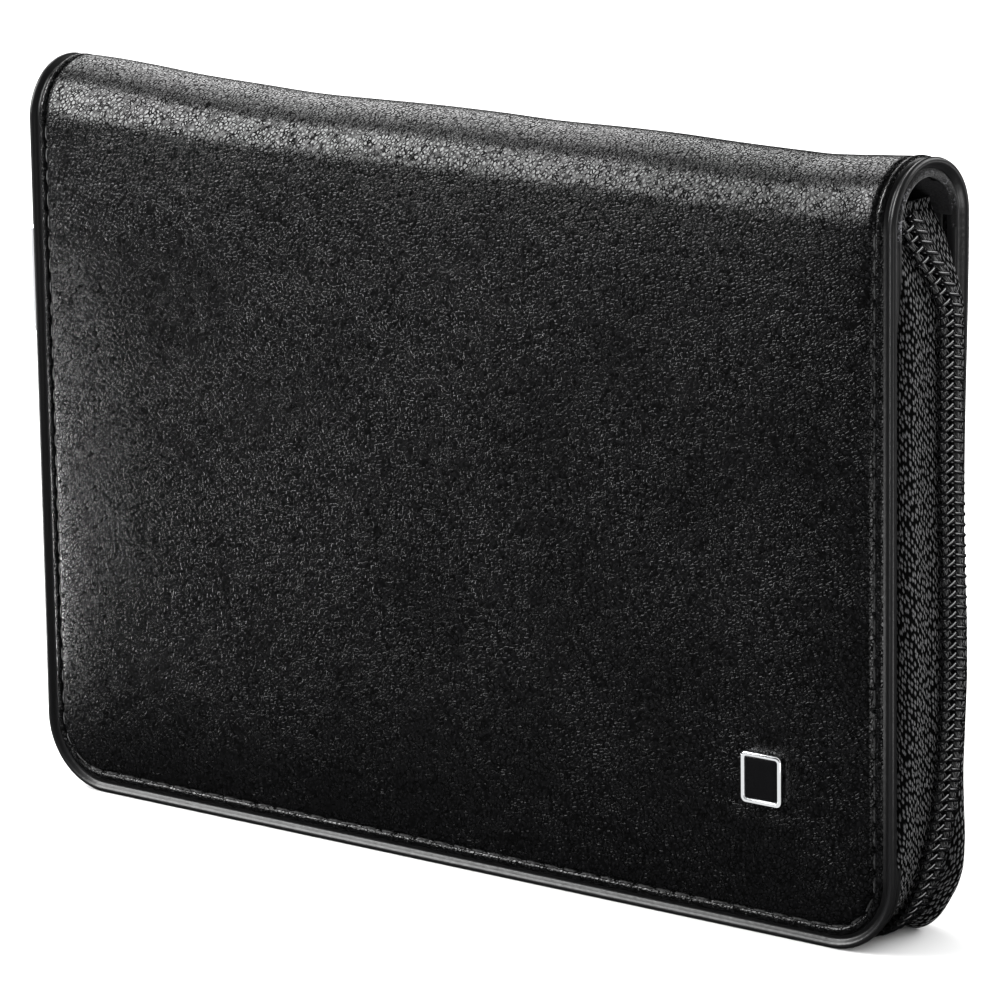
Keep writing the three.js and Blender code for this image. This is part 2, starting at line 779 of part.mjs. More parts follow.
function roundedPanel(size, top, from, thickness) {
  const half = halfWidth - size.margin;
  const shape = new THREE.Shape();
  shape.moveTo(-half, top);
  shape.absarc(size.radius - half, size.bottom + size.radius, size.radius, Math.PI, (3 / 2) * Math.PI, false);
  shape.absarc(half - size.radius, size.bottom + size.radius, size.radius, (3 / 2) * Math.PI, 2 * Math.PI, false);
  shape.lineTo(half, top);
  return facingSolid(shape, Math.min(from, from + thickness), Math.max(from, from + thickness));
}

// Strap over a tool: two feet on the panel and a raised band between them
function toolStrap(name, x, z, inside, clearDepth) {
  const foot = panelFace - layers.glue - strap.thickness / 2;
  const over = panelFace - clearDepth - strap.play - strap.thickness / 2;
  const half = inside / 2 + strap.play + strap.thickness / 2;
  const line = [
    [-half - strap.foot, foot],
    [-half, foot],
    [-half, over],
    [half, over],
    [half, foot],
    [half + strap.foot, foot],
  ];
  const ring = thicken(line, strap.thickness);
  const bandRing = (height) => ring.map(([across, y]) => new THREE.Vector3(x + across, y, height));
  addPiece(name, skin([bandRing(z), bandRing(z + strap.width)]), borderLeather());
}

// Half of the scissors: blade above the pivot, shank and finger ring below it
function scissorsHalf(hand, nearY) {
  const { bladeLength, bladeWidth, bossRadius, shankWidth, ringSpread, ringRadius, ringBar } = scissors;
  const ringDrop = pivotHeight - scissors.bottom - ringRadius;
  const meet = Math.PI / 2 + (hand * Math.PI) / 8;
  const open = Math.asin(shankWidth / 2 / ringRadius);
  const ringX = hand * ringSpread;
  const shape = new THREE.Shape();
  shape.moveTo(0, bladeLength);
  shape.quadraticCurveTo(-hand * bladeWidth, bladeLength / 2, -hand * bladeWidth, bossRadius);
  shape.quadraticCurveTo(-hand * bossRadius, 0, -hand * (bossRadius / 2), -bossRadius);
  const first = meet + hand * open;
  const last = meet - hand * open;
  shape.absarc(ringX, -ringDrop, ringRadius, first, last, hand < 0);
  shape.lineTo(hand * bossRadius, -bossRadius / 2);
  shape.quadraticCurveTo(hand * bossRadius, bossRadius, hand * (shankWidth / 4), 2 * bossRadius);
  const finger = circle(ringX, -ringDrop, ringRadius - ringBar);
  const pivot = circle(0, 0, scissors.screwRadius + scissors.play);
  shape.holes.push(finger, pivot);
  const solid = facingSolid(shape, nearY, nearY + scissors.thickness, 16);
  return solid.translate(places.scissors, 0, pivotHeight);
}

function makeScissors() {
  const fixedNear = toolBack - scissors.thickness;
  const movingNear = fixedNear - scissors.play - scissors.thickness;
  addPiece('scissors_fixed_half', scissorsHalf(-1, fixedNear), steel());
  addPiece('scissors_moving_half', scissorsHalf(1, movingNear), steel());
  const headNear = movingNear - scissors.play - scissors.headThickness;
  const x = places.scissors;
  const z = pivotHeight;
  const shaft = pinSolid(scissors.screwRadius, headNear, toolBack, x, z);
  const head = pinSolid(scissors.headRadius, headNear, headNear + scissors.headThickness, x, z);
  addPiece('scissors_screw', join(shaft, head), steel());
  const strapBottom = pivotHeight + scissors.strapHeight;
  const inside = 2 * (scissors.bladeWidth + scissors.openSlack);
  toolStrap('scissors_strap', x, strapBottom, inside, panelFace - movingNear);
}

// Bar along Z from widths, thicknesses and middle depths at shares of its length
function barRings(tool, x, shares, widths, thicknesses, middles) {
  return shares.map((share, i) => {
    const z = tool.bottom + share * toolLength(tool);
    const across = widths[i] / 2;
    const deep = thicknesses[i] / 2;
    return [
      [-across, -deep],
      [across, -deep],
      [across, deep],
      [-across, deep],
    ].map(([side, y]) => new THREE.Vector3(x + side, middles[i] + y, z));
  });
}

function makeTweezers() {
  const sheet = tweezers.armThickness;
  const thicknesses = tweezerWidths.map(() => sheet);
  const rear = tweezerWidths.map(() => toolBack - sheet / 2);
  const fore = tweezerBowShares.map((share, i) => {
    const rest = i < 2 ? tweezers.weld : tweezers.tipGap;
    return toolBack - (3 / 2) * sheet - rest - share * tweezers.bow;
  });
  const rearRings = barRings(tweezers, places.tweezers, tweezerLengthShares, tweezerWidths, thicknesses, rear);
  const foreRings = barRings(tweezers, places.tweezers, tweezerLengthShares, tweezerWidths, thicknesses, fore);
  addPiece('tweezers_rear_arm', skin(rearRings), steel());
  addPiece('tweezers_front_arm', skin(foreRings), steel());
  const depth = toolSeat + 2 * sheet + tweezers.tipGap + tweezers.bow;
  const height = tweezers.bottom + toolLength(tweezers) / 2;
  toolStrap('tweezers_strap', places.tweezers, height, Math.max(...tweezerWidths), depth);
}

function makeFile() {
  const middles = fileThicknesses.map((thickness) => toolBack - thickness / 2);
  const rings = barRings(nailFile, places.nailFile, fileLengthShares, fileWidths, fileThicknesses, middles);
  addPiece('nail_file', skin(rings), steel());
  const height = nailFile.bottom + toolLength(nailFile) / 2;
  toolStrap('nail_file_strap', places.nailFile, height, Math.max(...fileWidths), toolSeat + fileThicknesses[1]);
}

function makePusher() {
  const middle = toolBack - Math.max(...pusherThicknesses) / 2;
  const rings = pusherLengthShares.map((share, i) => {
    const z = pusher.bottom + share * toolLength(pusher);
    return Array.from({ length: pusher.sides }, (_, k) => {
      const angle = (2 * Math.PI * (k + 1 / 2)) / pusher.sides;
      const x = places.pusher + (pusherWidths[i] / 2) * Math.cos(angle);
      return new THREE.Vector3(x, middle + (pusherThicknesses[i] / 2) * Math.sin(angle), z);
    });
  });
  addPiece('cuticle_pusher', skin(rings), steel());
  const height = pusher.bottom + toolLength(pusher) / 2;
  const depth = toolSeat + Math.max(...pusherThicknesses);
  toolStrap('cuticle_pusher_strap', places.pusher, height, Math.max(...pusherWidths), depth);
}

// Bent strip of the clipper, from a side profile in Y and Z trimmed to a plan outline
function clipperStrip(profile, thickness, plan) {
  const ring = thicken(profile, thickness);
  const half = clipper.width / 2 + cutOverrun;
  const stripRing = (x) => ring.map(([y, z]) => new THREE.Vector3(x, y, z));
  return common(skin([stripRing(-half), stripRing(half)]), plan);
}

function clipperPlan(length, tailWidth, headWidth, bottom) {
  const shape = new THREE.Shape();
  const tail = tailWidth / 2;
  const head = headWidth / 2;
  shape.moveTo(-head, bottom + length + cutOverrun);
  shape.lineTo(-head, bottom + length * (2 / 3));
  shape.lineTo(-tail, bottom + tail);
  shape.absarc(0, bottom + tail, tail, Math.PI, 2 * Math.PI, false);
  shape.lineTo(head, bottom + length * (2 / 3));
  shape.lineTo(head, bottom + length + cutOverrun);
  return facingSolid(shape, -halfDepth, halfDepth);
}

function makeClipper() {
  const { sheet, jawLength, jawGap, play, bottom, length } = clipper;
  const centre = places.clipper;
  const top = bottom + length;
  const pinHeight = top - clipper.pinFromJaw;
  const lowLine = toolBack - sheet / 2;
  const highLine = lowLine - sheet - play;
  const stack = 2 * sheet + 3 * play + clipper.leverThickness + clipper.headThickness;
  const rise = toolBack - pocketFace - clipper.pocketGap - stack;
  const cuttingLine = (lowLine + highLine - rise) / 2;
  const armPlan = clipperPlan(length, clipper.tailWidth, clipper.width, bottom);
  const jawTop = top - sheet;
  const jawBottom = jawTop - jawLength;
  const bend = clipper.jawBendShare * (lowLine - highLine + rise);
  const lower = clipperStrip([
    [lowLine, bottom],
    [lowLine, jawBottom],
    [lowLine - bend, jawTop],
    [cuttingLine + (jawGap + sheet) / 2, top],
  ], sheet, armPlan);
  const upper = clipperStrip([
    [highLine, bottom],
    [highLine, bottom + clipper.tailWidth],
    [highLine - rise, jawBottom],
    [highLine - rise + bend, jawTop],
    [cuttingLine - (jawGap + sheet) / 2, top],
  ], sheet, armPlan);
  const clearRadius = clipper.pinRadius + play;
  const hole = pinSolid(clearRadius, -halfDepth, halfDepth, 0, pinHeight);
  addPiece('clipper_lower_arm', cut(lower, hole).translate(centre, 0, 0), steel());
  addPiece('clipper_upper_arm', cut(upper, hole).translate(centre, 0, 0), steel());

  const leverLine = highLine - rise - sheet / 2 - play - clipper.leverThickness / 2;
  const leverTop = pinHeight + clipper.width / 2;
  const leverBottom = leverTop - clipper.leverLength;
  const leverPlan = clipperPlan(clipper.leverLength, clipper.tailWidth, clipper.tailWidth, leverBottom);
  const lever = clipperStrip([
    [leverLine, leverTop],
    [leverLine, leverBottom + clipper.tailWidth],
    [leverLine - clipper.leverTipLift, leverBottom],
  ], clipper.leverThickness, leverPlan);
  addPiece('clipper_lever', cut(lever, hole).translate(centre, 0, 0), steel());

  const headFar = leverLine - clipper.leverThickness / 2 - play;
  const head = pinSolid(clipper.headRadius, headFar - clipper.headThickness, headFar, centre, pinHeight);
  const shaft = pinSolid(clipper.pinRadius, headFar - clipper.headThickness, toolBack, centre, pinHeight);
  addPiece('clipper_pin', join(shaft, head), steel());
  const strapBottom = bottom + clipper.tailWidth;
  const bow = rise * (strap.width / (jawBottom - strapBottom));
  const armDepth = toolSeat + 2 * sheet + play + bow;
  toolStrap('clipper_strap', centre, strapBottom, clipper.width, armDepth);
}

makeCover(back, 'back', crown.backHeight);
makeCover(front, 'front', crown.frontHeight);
makeSpine();
makeBadge();
makeSlider();
const panelTop = coverTop - panel.topGap;
const pocketTop = pocket.bottom + pocket.height;
addPiece('tool_panel', roundedPanel(panel, panelTop, innerFace - layers.glue, -panel.thickness), liningCloth());
addPiece('slip_pocket', roundedPanel(pocket, pocketTop, layers.glue - innerFace, pocket.thickness), liningCloth());
makeScissors();
makeTweezers();
makeFile();
makePusher();
makeClipper();

export default group;
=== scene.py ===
import math

import bmesh
import bpy
import numpy as np
from mathutils import Matrix, Vector


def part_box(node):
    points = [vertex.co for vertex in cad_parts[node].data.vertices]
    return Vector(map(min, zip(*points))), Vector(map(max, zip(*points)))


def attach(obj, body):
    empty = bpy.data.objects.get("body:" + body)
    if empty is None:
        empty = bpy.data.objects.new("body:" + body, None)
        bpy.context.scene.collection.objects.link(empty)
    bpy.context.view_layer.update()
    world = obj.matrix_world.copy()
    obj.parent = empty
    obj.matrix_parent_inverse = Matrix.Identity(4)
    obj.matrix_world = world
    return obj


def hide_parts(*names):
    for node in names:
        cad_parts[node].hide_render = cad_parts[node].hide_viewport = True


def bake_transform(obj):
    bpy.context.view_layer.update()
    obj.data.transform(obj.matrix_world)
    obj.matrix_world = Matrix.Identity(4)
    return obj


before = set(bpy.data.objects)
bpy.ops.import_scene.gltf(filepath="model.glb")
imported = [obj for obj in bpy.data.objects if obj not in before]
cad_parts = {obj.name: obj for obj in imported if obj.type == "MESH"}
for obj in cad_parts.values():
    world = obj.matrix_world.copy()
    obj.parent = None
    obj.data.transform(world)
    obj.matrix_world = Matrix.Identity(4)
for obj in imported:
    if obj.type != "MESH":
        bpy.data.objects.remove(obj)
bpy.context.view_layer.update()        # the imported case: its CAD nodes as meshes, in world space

# Zip-around manicure case in black pebbled leather, standing on its long zip edge.
# Lengths are in millimetres here and turned to metres when a mesh is made.
# +X is the width, -Y the front cover, +Z up.

mm = 0.001
front, back = -1, 1
covers = ((front, "front"), (back, "back"))
quarter = math.pi / 2
rng = np.random.default_rng(11)

case = {
    "halfWidth": 75.0, "halfDepth": 8.5, "coverTop": 98.55, "foldHeight": 98.7, "cornerRadius": 10.5,
    "borderWidth": 2.6,
}


# Small helpers

def smooth(value, start, end):
    share = np.clip((np.asarray(value, float) - start) / (end - start), 0, 1)
    return share * share * (3 - 2 * share)


def mix(a, b, share):
    return a + (b - a) * share


def softCurve(x, keys):
    # a smooth line through (place, value) keys
    places = np.array([k[0] for k in keys], float)
    values = np.array([k[1] for k in keys], float)
    slopes = np.gradient(values, places)
    x = np.clip(np.asarray(x, float), places[0], places[-1])
    i = np.clip(np.searchsorted(places, x) - 1, 0, len(places) - 2)
    span = places[i + 1] - places[i]
    t = (x - places[i]) / span
    return ((2 * t**3 - 3 * t**2 + 1) * values[i] + (t**3 - 2 * t**2 + t) * span * slopes[i]
            + (3 * t**2 - 2 * t**3) * values[i + 1] + (t**3 - t**2) * span * slopes[i + 1])


def meshPiece(name, points, faces, material, uv=None):
    mesh = bpy.data.meshes.new(name)
    points = np.asarray(points, float).reshape(-1, 3) * mm
    mesh.from_pydata(points.tolist(), [], [tuple(int(i) for i in f) for f in faces])
    if uv is not None:
        pattern = mesh.uv_layers.new(name="pattern")
        loops = np.zeros(len(mesh.loops), np.int64)
        mesh.loops.foreach_get("vertex_index", loops)
        pattern.data.foreach_set("uv", np.asarray(uv, float)[loops].ravel())
    mesh.materials.append(material)
    mesh.polygons.foreach_set("use_smooth", [True] * len(mesh.polygons))
    mesh.update()
    made = bpy.data.objects.new(name, mesh)
    bpy.context.scene.collection.objects.link(made)
    return made


def gridFaces(rows, cols, aroundRows=False, aroundCols=False, flip=False, first=0):
    i = np.arange(rows if aroundRows else rows - 1)
    j = np.arange(cols if aroundCols else cols - 1)
    i, j = [a.ravel() for a in np.meshgrid(i, j, indexing="ij")]
    a = i * cols + j
    b = i * cols + (j + 1) % cols
    c = ((i + 1) % rows) * cols + (j + 1) % cols
    d = ((i + 1) % rows) * cols + j
    faces = np.stack([a, b, c, d] if not flip else [d, c, b, a], 1) + first
    return faces.tolist()


def turnOut(made, join=0.0):
    # faces point out on a closed mesh; points closer than join metres become one first
    work = bmesh.new()
    work.from_mesh(made.data)
    if join:
        bmesh.ops.remove_doubles(work, verts=work.verts, dist=join)
    bmesh.ops.recalc_face_normals(work, faces=work.faces)
    work.to_mesh(made.data)
    work.free()
    return made


def ringLoft(name, rings, material, around=False, uv=None):
    # skin over equal rings of points, closed by a face at both ends or joined round to the first ring
    count = len(rings[0])
    faces = gridFaces(len(rings), count, aroundRows=around, aroundCols=True)
    if not around:
        last = (len(rings) - 1) * count
        faces += [tuple(range(count)), tuple(range(last, last + count))]
    return turnOut(meshPiece(name, np.concatenate(rings), faces, material, uv))


def tubePoints(path, radius, sides, up):
    # rings of points round a path; radius may change along it
    path = np.asarray(path, float)
    along = np.gradient(path, axis=0)
    along /= np.linalg.norm(along, axis=1)[:, None]
    guide = np.broadcast_to(np.asarray(up, float), path.shape)
    side = np.cross(along, guide)
    side /= np.maximum(np.linalg.norm(side, axis=1), 1e-9)[:, None]
    over = np.cross(side, along)
    angles = np.arange(sides) * 2 * math.pi / sides
    reach = np.broadcast_to(np.asarray(radius, float), len(path))[:, None, None]
    return (path[:, None, :] + reach * (np.cos(angles)[None, :, None] * side[:, None, :]
                                        + np.sin(angles)[None, :, None] * over[:, None, :]))


def tubes(name, paths, radius, sides, material, up):
    points, faces, first = [], [], 0
    for path in paths:
        points.append(tubePoints(path, radius, sides, up).reshape(-1, 3))
        faces += gridFaces(len(path), sides, aroundCols=True, first=first)
        last = first + (len(path) - 1) * sides
        faces += [tuple(range(first + sides - 1, first - 1, -1)), tuple(range(last, last + sides))]
        first += len(path) * sides
    return meshPiece(name, np.concatenate(points), faces, material)


def place(made, body, *nodes, slot=None):
    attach(made, body)
    if nodes:
        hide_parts(*nodes)
    return made


def boxOf(node):
    return [np.array(corner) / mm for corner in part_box(node)]


# Materials

def linear(hexColour):
    parts = [int(hexColour[i:i + 2], 16) / 255 for i in (1, 3, 5)]
    return tuple(c / 12.92 if c <= 0.04045 else ((c + 0.055) / 1.055) ** 2.4 for c in parts) + (1.0,)


def addNode(tree, kind, inputs=None, **settings):
    made = tree.nodes.new(kind)
    for name, value in settings.items():
        setattr(made, name, value)
    for key, value in (inputs or {}).items():
        if isinstance(value, bpy.types.NodeSocket):
            tree.links.new(value, made.inputs[key])
        else:
            made.inputs[key].default_value = value
    return made


def newMaterial(name):
    made = bpy.data.materials.new(name)
    made.use_nodes = True
    made.node_tree.nodes.clear()
    return made, made.node_tree


def closeMaterial(made, shader):
    addNode(made.node_tree, "ShaderNodeOutputMaterial", {"Surface": shader.outputs[0]})
    return made


def principled(made, inputs):
    return closeMaterial(made, addNode(made.node_tree, "ShaderNodeBsdfPrincipled", inputs))


def objectPlaces(tree):
    return addNode(tree, "ShaderNodeTexCoord").outputs["Object"]


def noise(tree, places, scale, detail, roughness=0.5):
    inputs = {"Vector": places, "Scale": scale, "Detail": detail, "Roughness": roughness}
    return addNode(tree, "ShaderNodeTexNoise", inputs).outputs


def bump(tree, height, depth, under=None, strength=1.0):
    # depth in mm; under is the bump below this one
    inputs = {"Height": height, "Distance": depth * mm, "Strength": strength}
    if under is not None:
        inputs["Normal"] = under
    return addNode(tree, "ShaderNodeBump", inputs).outputs[0]


def remap(tree, value, fromMin, fromMax, toMin=0.0, toMax=1.0, kind="LINEAR"):
    inputs = {"Value": value, "From Min": fromMin, "From Max": fromMax, "To Min": toMin, "To Max": toMax}
    return addNode(tree, "ShaderNodeMapRange", inputs, interpolation_type=kind).outputs[0]


def colourMix(tree, factor, low, high):
    inputs = {"Factor": factor, "A": linear(low), "B": linear(high)}
    return addNode(tree, "ShaderNodeMix", inputs, data_type="RGBA").outputs["Result"]


def bend(tree, places, scale, detail, reach):
    # places pushed about by a noise, so that a pattern has no straight rows
    drift = noise(tree, places, scale, detail)["Color"]
    centred = addNode(tree, "ShaderNodeVectorMath", {0: drift, 1: (0.5, 0.5, 0.5)}, operation="SUBTRACT")
    push = addNode(tree, "ShaderNodeVectorMath", {0: centred.outputs[0], "Scale": reach}, operation="SCALE")
    return addNode(tree, "ShaderNodeVectorMath", {0: places, 1: push.outputs[0]}, operation="ADD").outputs[0]


def turnedPlaces(tree, places, **inputs):
    return addNode(tree, "ShaderNodeMapping", {"Vector": places, **inputs}).outputs[0]


def shadeShader(tree, colour):
    # painted shade for the bottom of a crease or a gap: a dark, dull shader with almost no reflection, so it
    # stays dark from every side
    inputs = {"Base Color": linear(colour), "Roughness": 0.9, "Specular IOR Level": 0.04}
    return addNode(tree, "ShaderNodeBsdfPrincipled", inputs)


def bothShaders(tree, share, low, high):
    return addNode(tree, "ShaderNodeMixShader", {0: share, 1: low.outputs[0], 2: high.outputs[0]})


# Full-grain cowhide, chrome tanned, drum dyed black and finished semi-matt: flat-topped pebbles about 0.5 mm
# across, drawn out along one diagonal, parted by narrow steep creases that stay dark and rough. The creases
# are painted shade: a darker colour and a dull shader with almost no reflection. The eye sees fine bright
# tops and black specks where light grazes, and near black elsewhere.
def pebbledLeather():
    look = {
        "dye": "#0e0e0f", "crease": "#020202", "pebble": 0.46, "stretch": 1.5, "lean": 40.0, "between": 1.9,
        "creaseDepth": 0.043, "smallDepth": 0.004, "poreDepth": 0.016, "wrinkleDepth": 0.05,
        "roughness": 0.21, "ior": 1.47,
    }
    made, tree = newMaterial("pebbled cowhide")
    places = objectPlaces(tree)
    bent = bend(tree, places, 0.24 / mm, 3.0, 1.3 * mm)
    turned = turnedPlaces(tree, bent, Rotation=(0, math.radians(look["lean"]), 0))
    drawn = turnedPlaces(tree, turned, Scale=(1 / look["stretch"], 1, 1))
    size = 1 / (look["pebble"] * mm)
    cells = addNode(tree, "ShaderNodeTexVoronoi", {
        "Vector": drawn, "Scale": size, "Randomness": 0.95,
    }, feature="DISTANCE_TO_EDGE")
    small = addNode(tree, "ShaderNodeTexVoronoi", {
        "Vector": bent, "Scale": size * look["between"], "Randomness": 1.0,
    }, feature="DISTANCE_TO_EDGE")
    flat = remap(tree, cells.outputs["Distance"], 0.02, 0.22, kind="SMOOTHSTEP")
    # many creases are stretched shut: a noise as wide as a pebble says how much of each is left
    ground = noise(tree, drawn, 1.5 / mm, 2.0)["Fac"]
    shut = remap(tree, ground, 0.38, 0.62, 0.5, 0.0)
    dome = addNode(tree, "ShaderNodeMath", {0: flat, 1: shut}, operation="MAXIMUM").outputs[0]
    fine = remap(tree, small.outputs["Distance"], 0.0, 0.12, kind="SMOOTHSTEP")
    pores = noise(tree, drawn, 2.3 / mm, 3.0, 0.55)["Fac"]
    # slower changes than the grain: patches over a centimetre wide, and wrinkles 2 mm wide and 10 mm long
    patches = noise(tree, places, 0.07 / mm, 2.0)["Fac"]
    uneven = remap(tree, patches, 0.35, 0.65, 0.6, 1.0)
    tall = addNode(tree, "ShaderNodeMath", {0: dome, 1: uneven}, operation="MULTIPLY").outputs[0]
    streaks = turnedPlaces(tree, turned, Scale=(0.22, 1, 1))
    wrinkles = noise(tree, streaks, 0.43 / mm, 2.0)["Fac"]
    slow = bump(tree, wrinkles, look["wrinkleDepth"])
    broad = bump(tree, tall, look["creaseDepth"], slow)
    middle = bump(tree, fine, look["smallDepth"], broad)
    # the base colour darkens to the crease colour in the creases: painted shade
    finished = addNode(tree, "ShaderNodeBsdfPrincipled", {
        "Base Color": colourMix(tree, dome, look["crease"], look["dye"]), "Roughness": look["roughness"],
        "IOR": look["ior"], "Normal": bump(tree, pores, look["poreDepth"], middle),
    })
    # painted shade in the creases: the dull dark shader there, and the finished one on the pebbles
    return closeMaterial(made, bothShaders(tree, dome, shadeShader(tree, look["crease"]), finished))


# The same hide skived thin and turned over the edge: the pull flattens the pebbles to a faint grain, so the
# edge shines in one long soft line.
def turnedLeather():
    look = {
        "dye": "#131314", "grain": 0.7, "grainDepth": 0.02, "fibreDepth": 0.012, "roughness": 0.34,
        "ior": 1.46,
    }
    made, tree = newMaterial("turned edge leather")
    places = objectPlaces(tree)
    cells = addNode(tree, "ShaderNodeTexVoronoi", {
        "Vector": places, "Scale": 1 / (look["grain"] * mm), "Randomness": 1.0,
    }, feature="SMOOTH_F1")
    fibre = noise(tree, places, 1.8 / mm, 5.0, 0.6)["Fac"]
    broad = bump(tree, cells.outputs["Distance"], look["grainDepth"])
    rough = remap(tree, fibre, 0.0, 1.0, look["roughness"] - 0.06, look["roughness"] + 0.12)
    return principled(made, {
        "Base Color": linear(look["dye"]), "Roughness": rough, "IOR": look["ior"],
        "Normal": bump(tree, fibre, look["fibreDepth"], broad),
    })


# Knitted polyester zip tape: wales 0.4 mm apart, each a row of stitches 1 mm long, staggered from wale to
# wale; the gaps between the yarns are deep and painted black with a dull shader (painted shade), so the tape
# reads as small grey lozenges.
def knittedTape():
    look = {
        "yarn": "#454547", "gap": "#030303", "wale": 0.4, "stitch": 1.0, "yarnDepth": 0.16, "fuzzDepth": 0.05,
        "roughness": 0.55, "ior": 1.55,
    }
    made, tree = newMaterial("knitted zip tape")
    # the pattern map is in millimetres, along and across the tape
    places = addNode(tree, "ShaderNodeUVMap", uv_map="pattern").outputs[0]
    bent = bend(tree, places, 2.0, 2.0, 0.25)
    wales = turnedPlaces(tree, bent, Scale=(1 / look["stitch"], 1 / look["wale"], 1))
    parts = addNode(tree, "ShaderNodeSeparateXYZ", {0: wales})
    shifted = addNode(tree, "ShaderNodeMath", {
        0: parts.outputs[1], 1: 0.5, 2: parts.outputs[0],
    }, operation="MULTIPLY_ADD")
    staggered = addNode(tree, "ShaderNodeCombineXYZ", {0: shifted.outputs[0], 1: parts.outputs[1]})
    loops = addNode(tree, "ShaderNodeTexVoronoi", {
        "Vector": staggered.outputs[0], "Scale": 1.0, "Randomness": 0.6,
    }, voronoi_dimensions="2D")
    solid = remap(tree, loops.outputs["Distance"], 0.12, 0.44, 1.0, 0.0, kind="SMOOTHSTEP")
    fuzz = noise(tree, places, 9.0, 4.0, 0.7)["Fac"]
    broad = bump(tree, solid, look["yarnDepth"])
    yarn = addNode(tree, "ShaderNodeBsdfPrincipled", {
        "Base Color": linear(look["yarn"]), "Roughness": look["roughness"], "IOR": look["ior"],
        "Sheen Weight": 0.3, "Sheen Roughness": 0.4, "Normal": bump(tree, fuzz, look["fuzzDepth"], broad),
    })
    # painted shade in the gaps between the yarns
    return closeMaterial(made, bothShaders(tree, solid, shadeShader(tree, look["gap"]), yarn))


# Nylon 66 monofilament, drawn and coiled hot: glassy black with long narrow glints.
def nylonFilament():
    look = {"dye": "#0a0a0b", "drawDepth": 0.02, "roughness": 0.2, "ior": 1.53}
    made, tree = newMaterial("nylon monofilament")
    draw = noise(tree, objectPlaces(tree), 0.9 / mm, 2.0)["Fac"]
    return principled(made, {
        "Base Color": linear(look["dye"]), "Roughness": look["roughness"], "IOR": look["ior"],
        "Normal": bump(tree, draw, look["drawDepth"], strength=0.7),
    })


# Spun polyester sewing thread: two plies twisted, matt with a slight nap.
def sewingThread():
    look = {"dye": "#1d1d1e", "twist": 0.5, "bands": 3.2, "plyDepth": 0.06, "roughness": 0.62, "ior": 1.55}
    made, tree = newMaterial("spun sewing thread")
    plies = addNode(tree, "ShaderNodeTexWave", {
        "Vector": objectPlaces(tree), "Scale": 1 / (look["twist"] * mm) / look["bands"], "Distortion": 1.0,
    }, bands_direction="DIAGONAL")
    return principled(made, {
        "Base Color": linear(look["dye"]), "Roughness": look["roughness"], "IOR": look["ior"],
        "Sheen Weight": 0.3, "Normal": bump(tree, plies.outputs["Fac"], look["plyDepth"]),
    })


# Zinc die casting, barrel polished and chrome plated: mirror bright with the faintest orange peel.
def chromePlate():
    look = {"metal": "#d9dadc", "peelDepth": 0.01, "roughness": 0.09}
    made, tree = newMaterial("chrome plated zinc")
    peel = noise(tree, objectPlaces(tree), 0.7 / mm, 3.0)["Fac"]
    rough = remap(tree, peel, 0.0, 1.0, look["roughness"] - 0.03, look["roughness"] + 0.06)
    return principled(made, {
        "Base Color": linear(look["metal"]), "Metallic": 1.0, "Roughness": rough,
        "Normal": bump(tree, peel, look["peelDepth"], strength=0.6),
    })


# Cold enamel poured in the well of the plate: black, glossy, slightly domed, with one clean reflection.
def blackEnamel():
    look = {"pigment": "#0c0c0d", "rippleDepth": 0.03, "roughness": 0.16, "ior": 1.52}
    made, tree = newMaterial("black enamel")
    ripple = noise(tree, objectPlaces(tree), 0.35 / mm, 1.0)["Fac"]
    return principled(made, {
        "Base Color": linear(look["pigment"]), "Roughness": look["roughness"], "IOR": look["ior"],
        "Coat Weight": 0.4, "Coat Roughness": 0.08,
        "Normal": bump(tree, ripple, look["rippleDepth"], strength=0.4),
    })


# Warp-knit microfibre lining, sanded to a short nap: soft charcoal black that lightens where the nap is
# turned. The lining copy is kept darker and almost without sheen as painted shade for the hollow inside the
# case; the hem copy at the arch's mouth is the same cloth painted lighter and sheenier (painted light).
napLooks = {
    "microfibre lining": {"turned": "#1d1d1f", "napSize": 0.3, "from": 0.16, "to": 0.36, "sheen": 0.03},
    "microfibre hem painted lighter": {"turned": "#66666a", "napSize": 0.42, "from": 0.24, "to": 0.32, "sheen": 0.15},
}


def napLining(name):
    look = {"nap": "#060607", "napDepth": 0.3, "roughness": 0.95, "ior": 1.5, **napLooks[name]}
    made, tree = newMaterial(name)
    places = objectPlaces(tree)
    nap = noise(tree, places, 1 / (look["napSize"] * mm), 5.0, 0.7)["Fac"]
    # brush strokes in the nap, a centimetre wide
    strokes = noise(tree, places, 0.09 / mm, 3.0)["Fac"]
    both = addNode(tree, "ShaderNodeMath", {0: nap, 1: strokes}, operation="MULTIPLY").outputs[0]
    spread = remap(tree, both, look["from"], look["to"])
    return principled(made, {
        "Base Color": colourMix(tree, spread, look["nap"], look["turned"]), "Roughness": look["roughness"],
        "IOR": look["ior"], "Specular IOR Level": 0.2, "Sheen Weight": look["sheen"], "Sheen Roughness": 0.5,
        "Normal": bump(tree, nap, look["napDepth"]),
    })


# Martensitic stainless steel, ground and satin brushed along the tool: grey with fine lengthwise lines.
def satinSteel():
    look = {"metal": "#b9babb", "line": 0.06, "lineDepth": 0.012, "roughness": 0.27}
    made, tree = newMaterial("satin stainless steel")
    # brush lines are 0.02 mm apart in the metal and are drawn coarser so that they show
    stretched = turnedPlaces(tree, objectPlaces(tree), Scale=(1, 1, 0.03))
    lines = noise(tree, stretched, 1 / (look["line"] * mm) / 4, 4.0, 0.7)["Fac"]
    rough = remap(tree, lines, 0.0, 1.0, look["roughness"] - 0.1, look["roughness"] + 0.14)
    return principled(made, {
        "Base Color": linear(look["metal"]), "Metallic": 1.0, "Roughness": rough,
        "Normal": bump(tree, lines, look["lineDepth"]),
    })


# Seamless studio vinyl, matt and pale.
def paleFloor():
    made, tree = newMaterial("matt pale floor")
    mottle = noise(tree, objectPlaces(tree), 6.0, 4.0)["Fac"]
    return principled(made, {
        "Base Color": colourMix(tree, mottle, "#eeeeee", "#f4f4f4"), "Roughness": 0.85,
    })


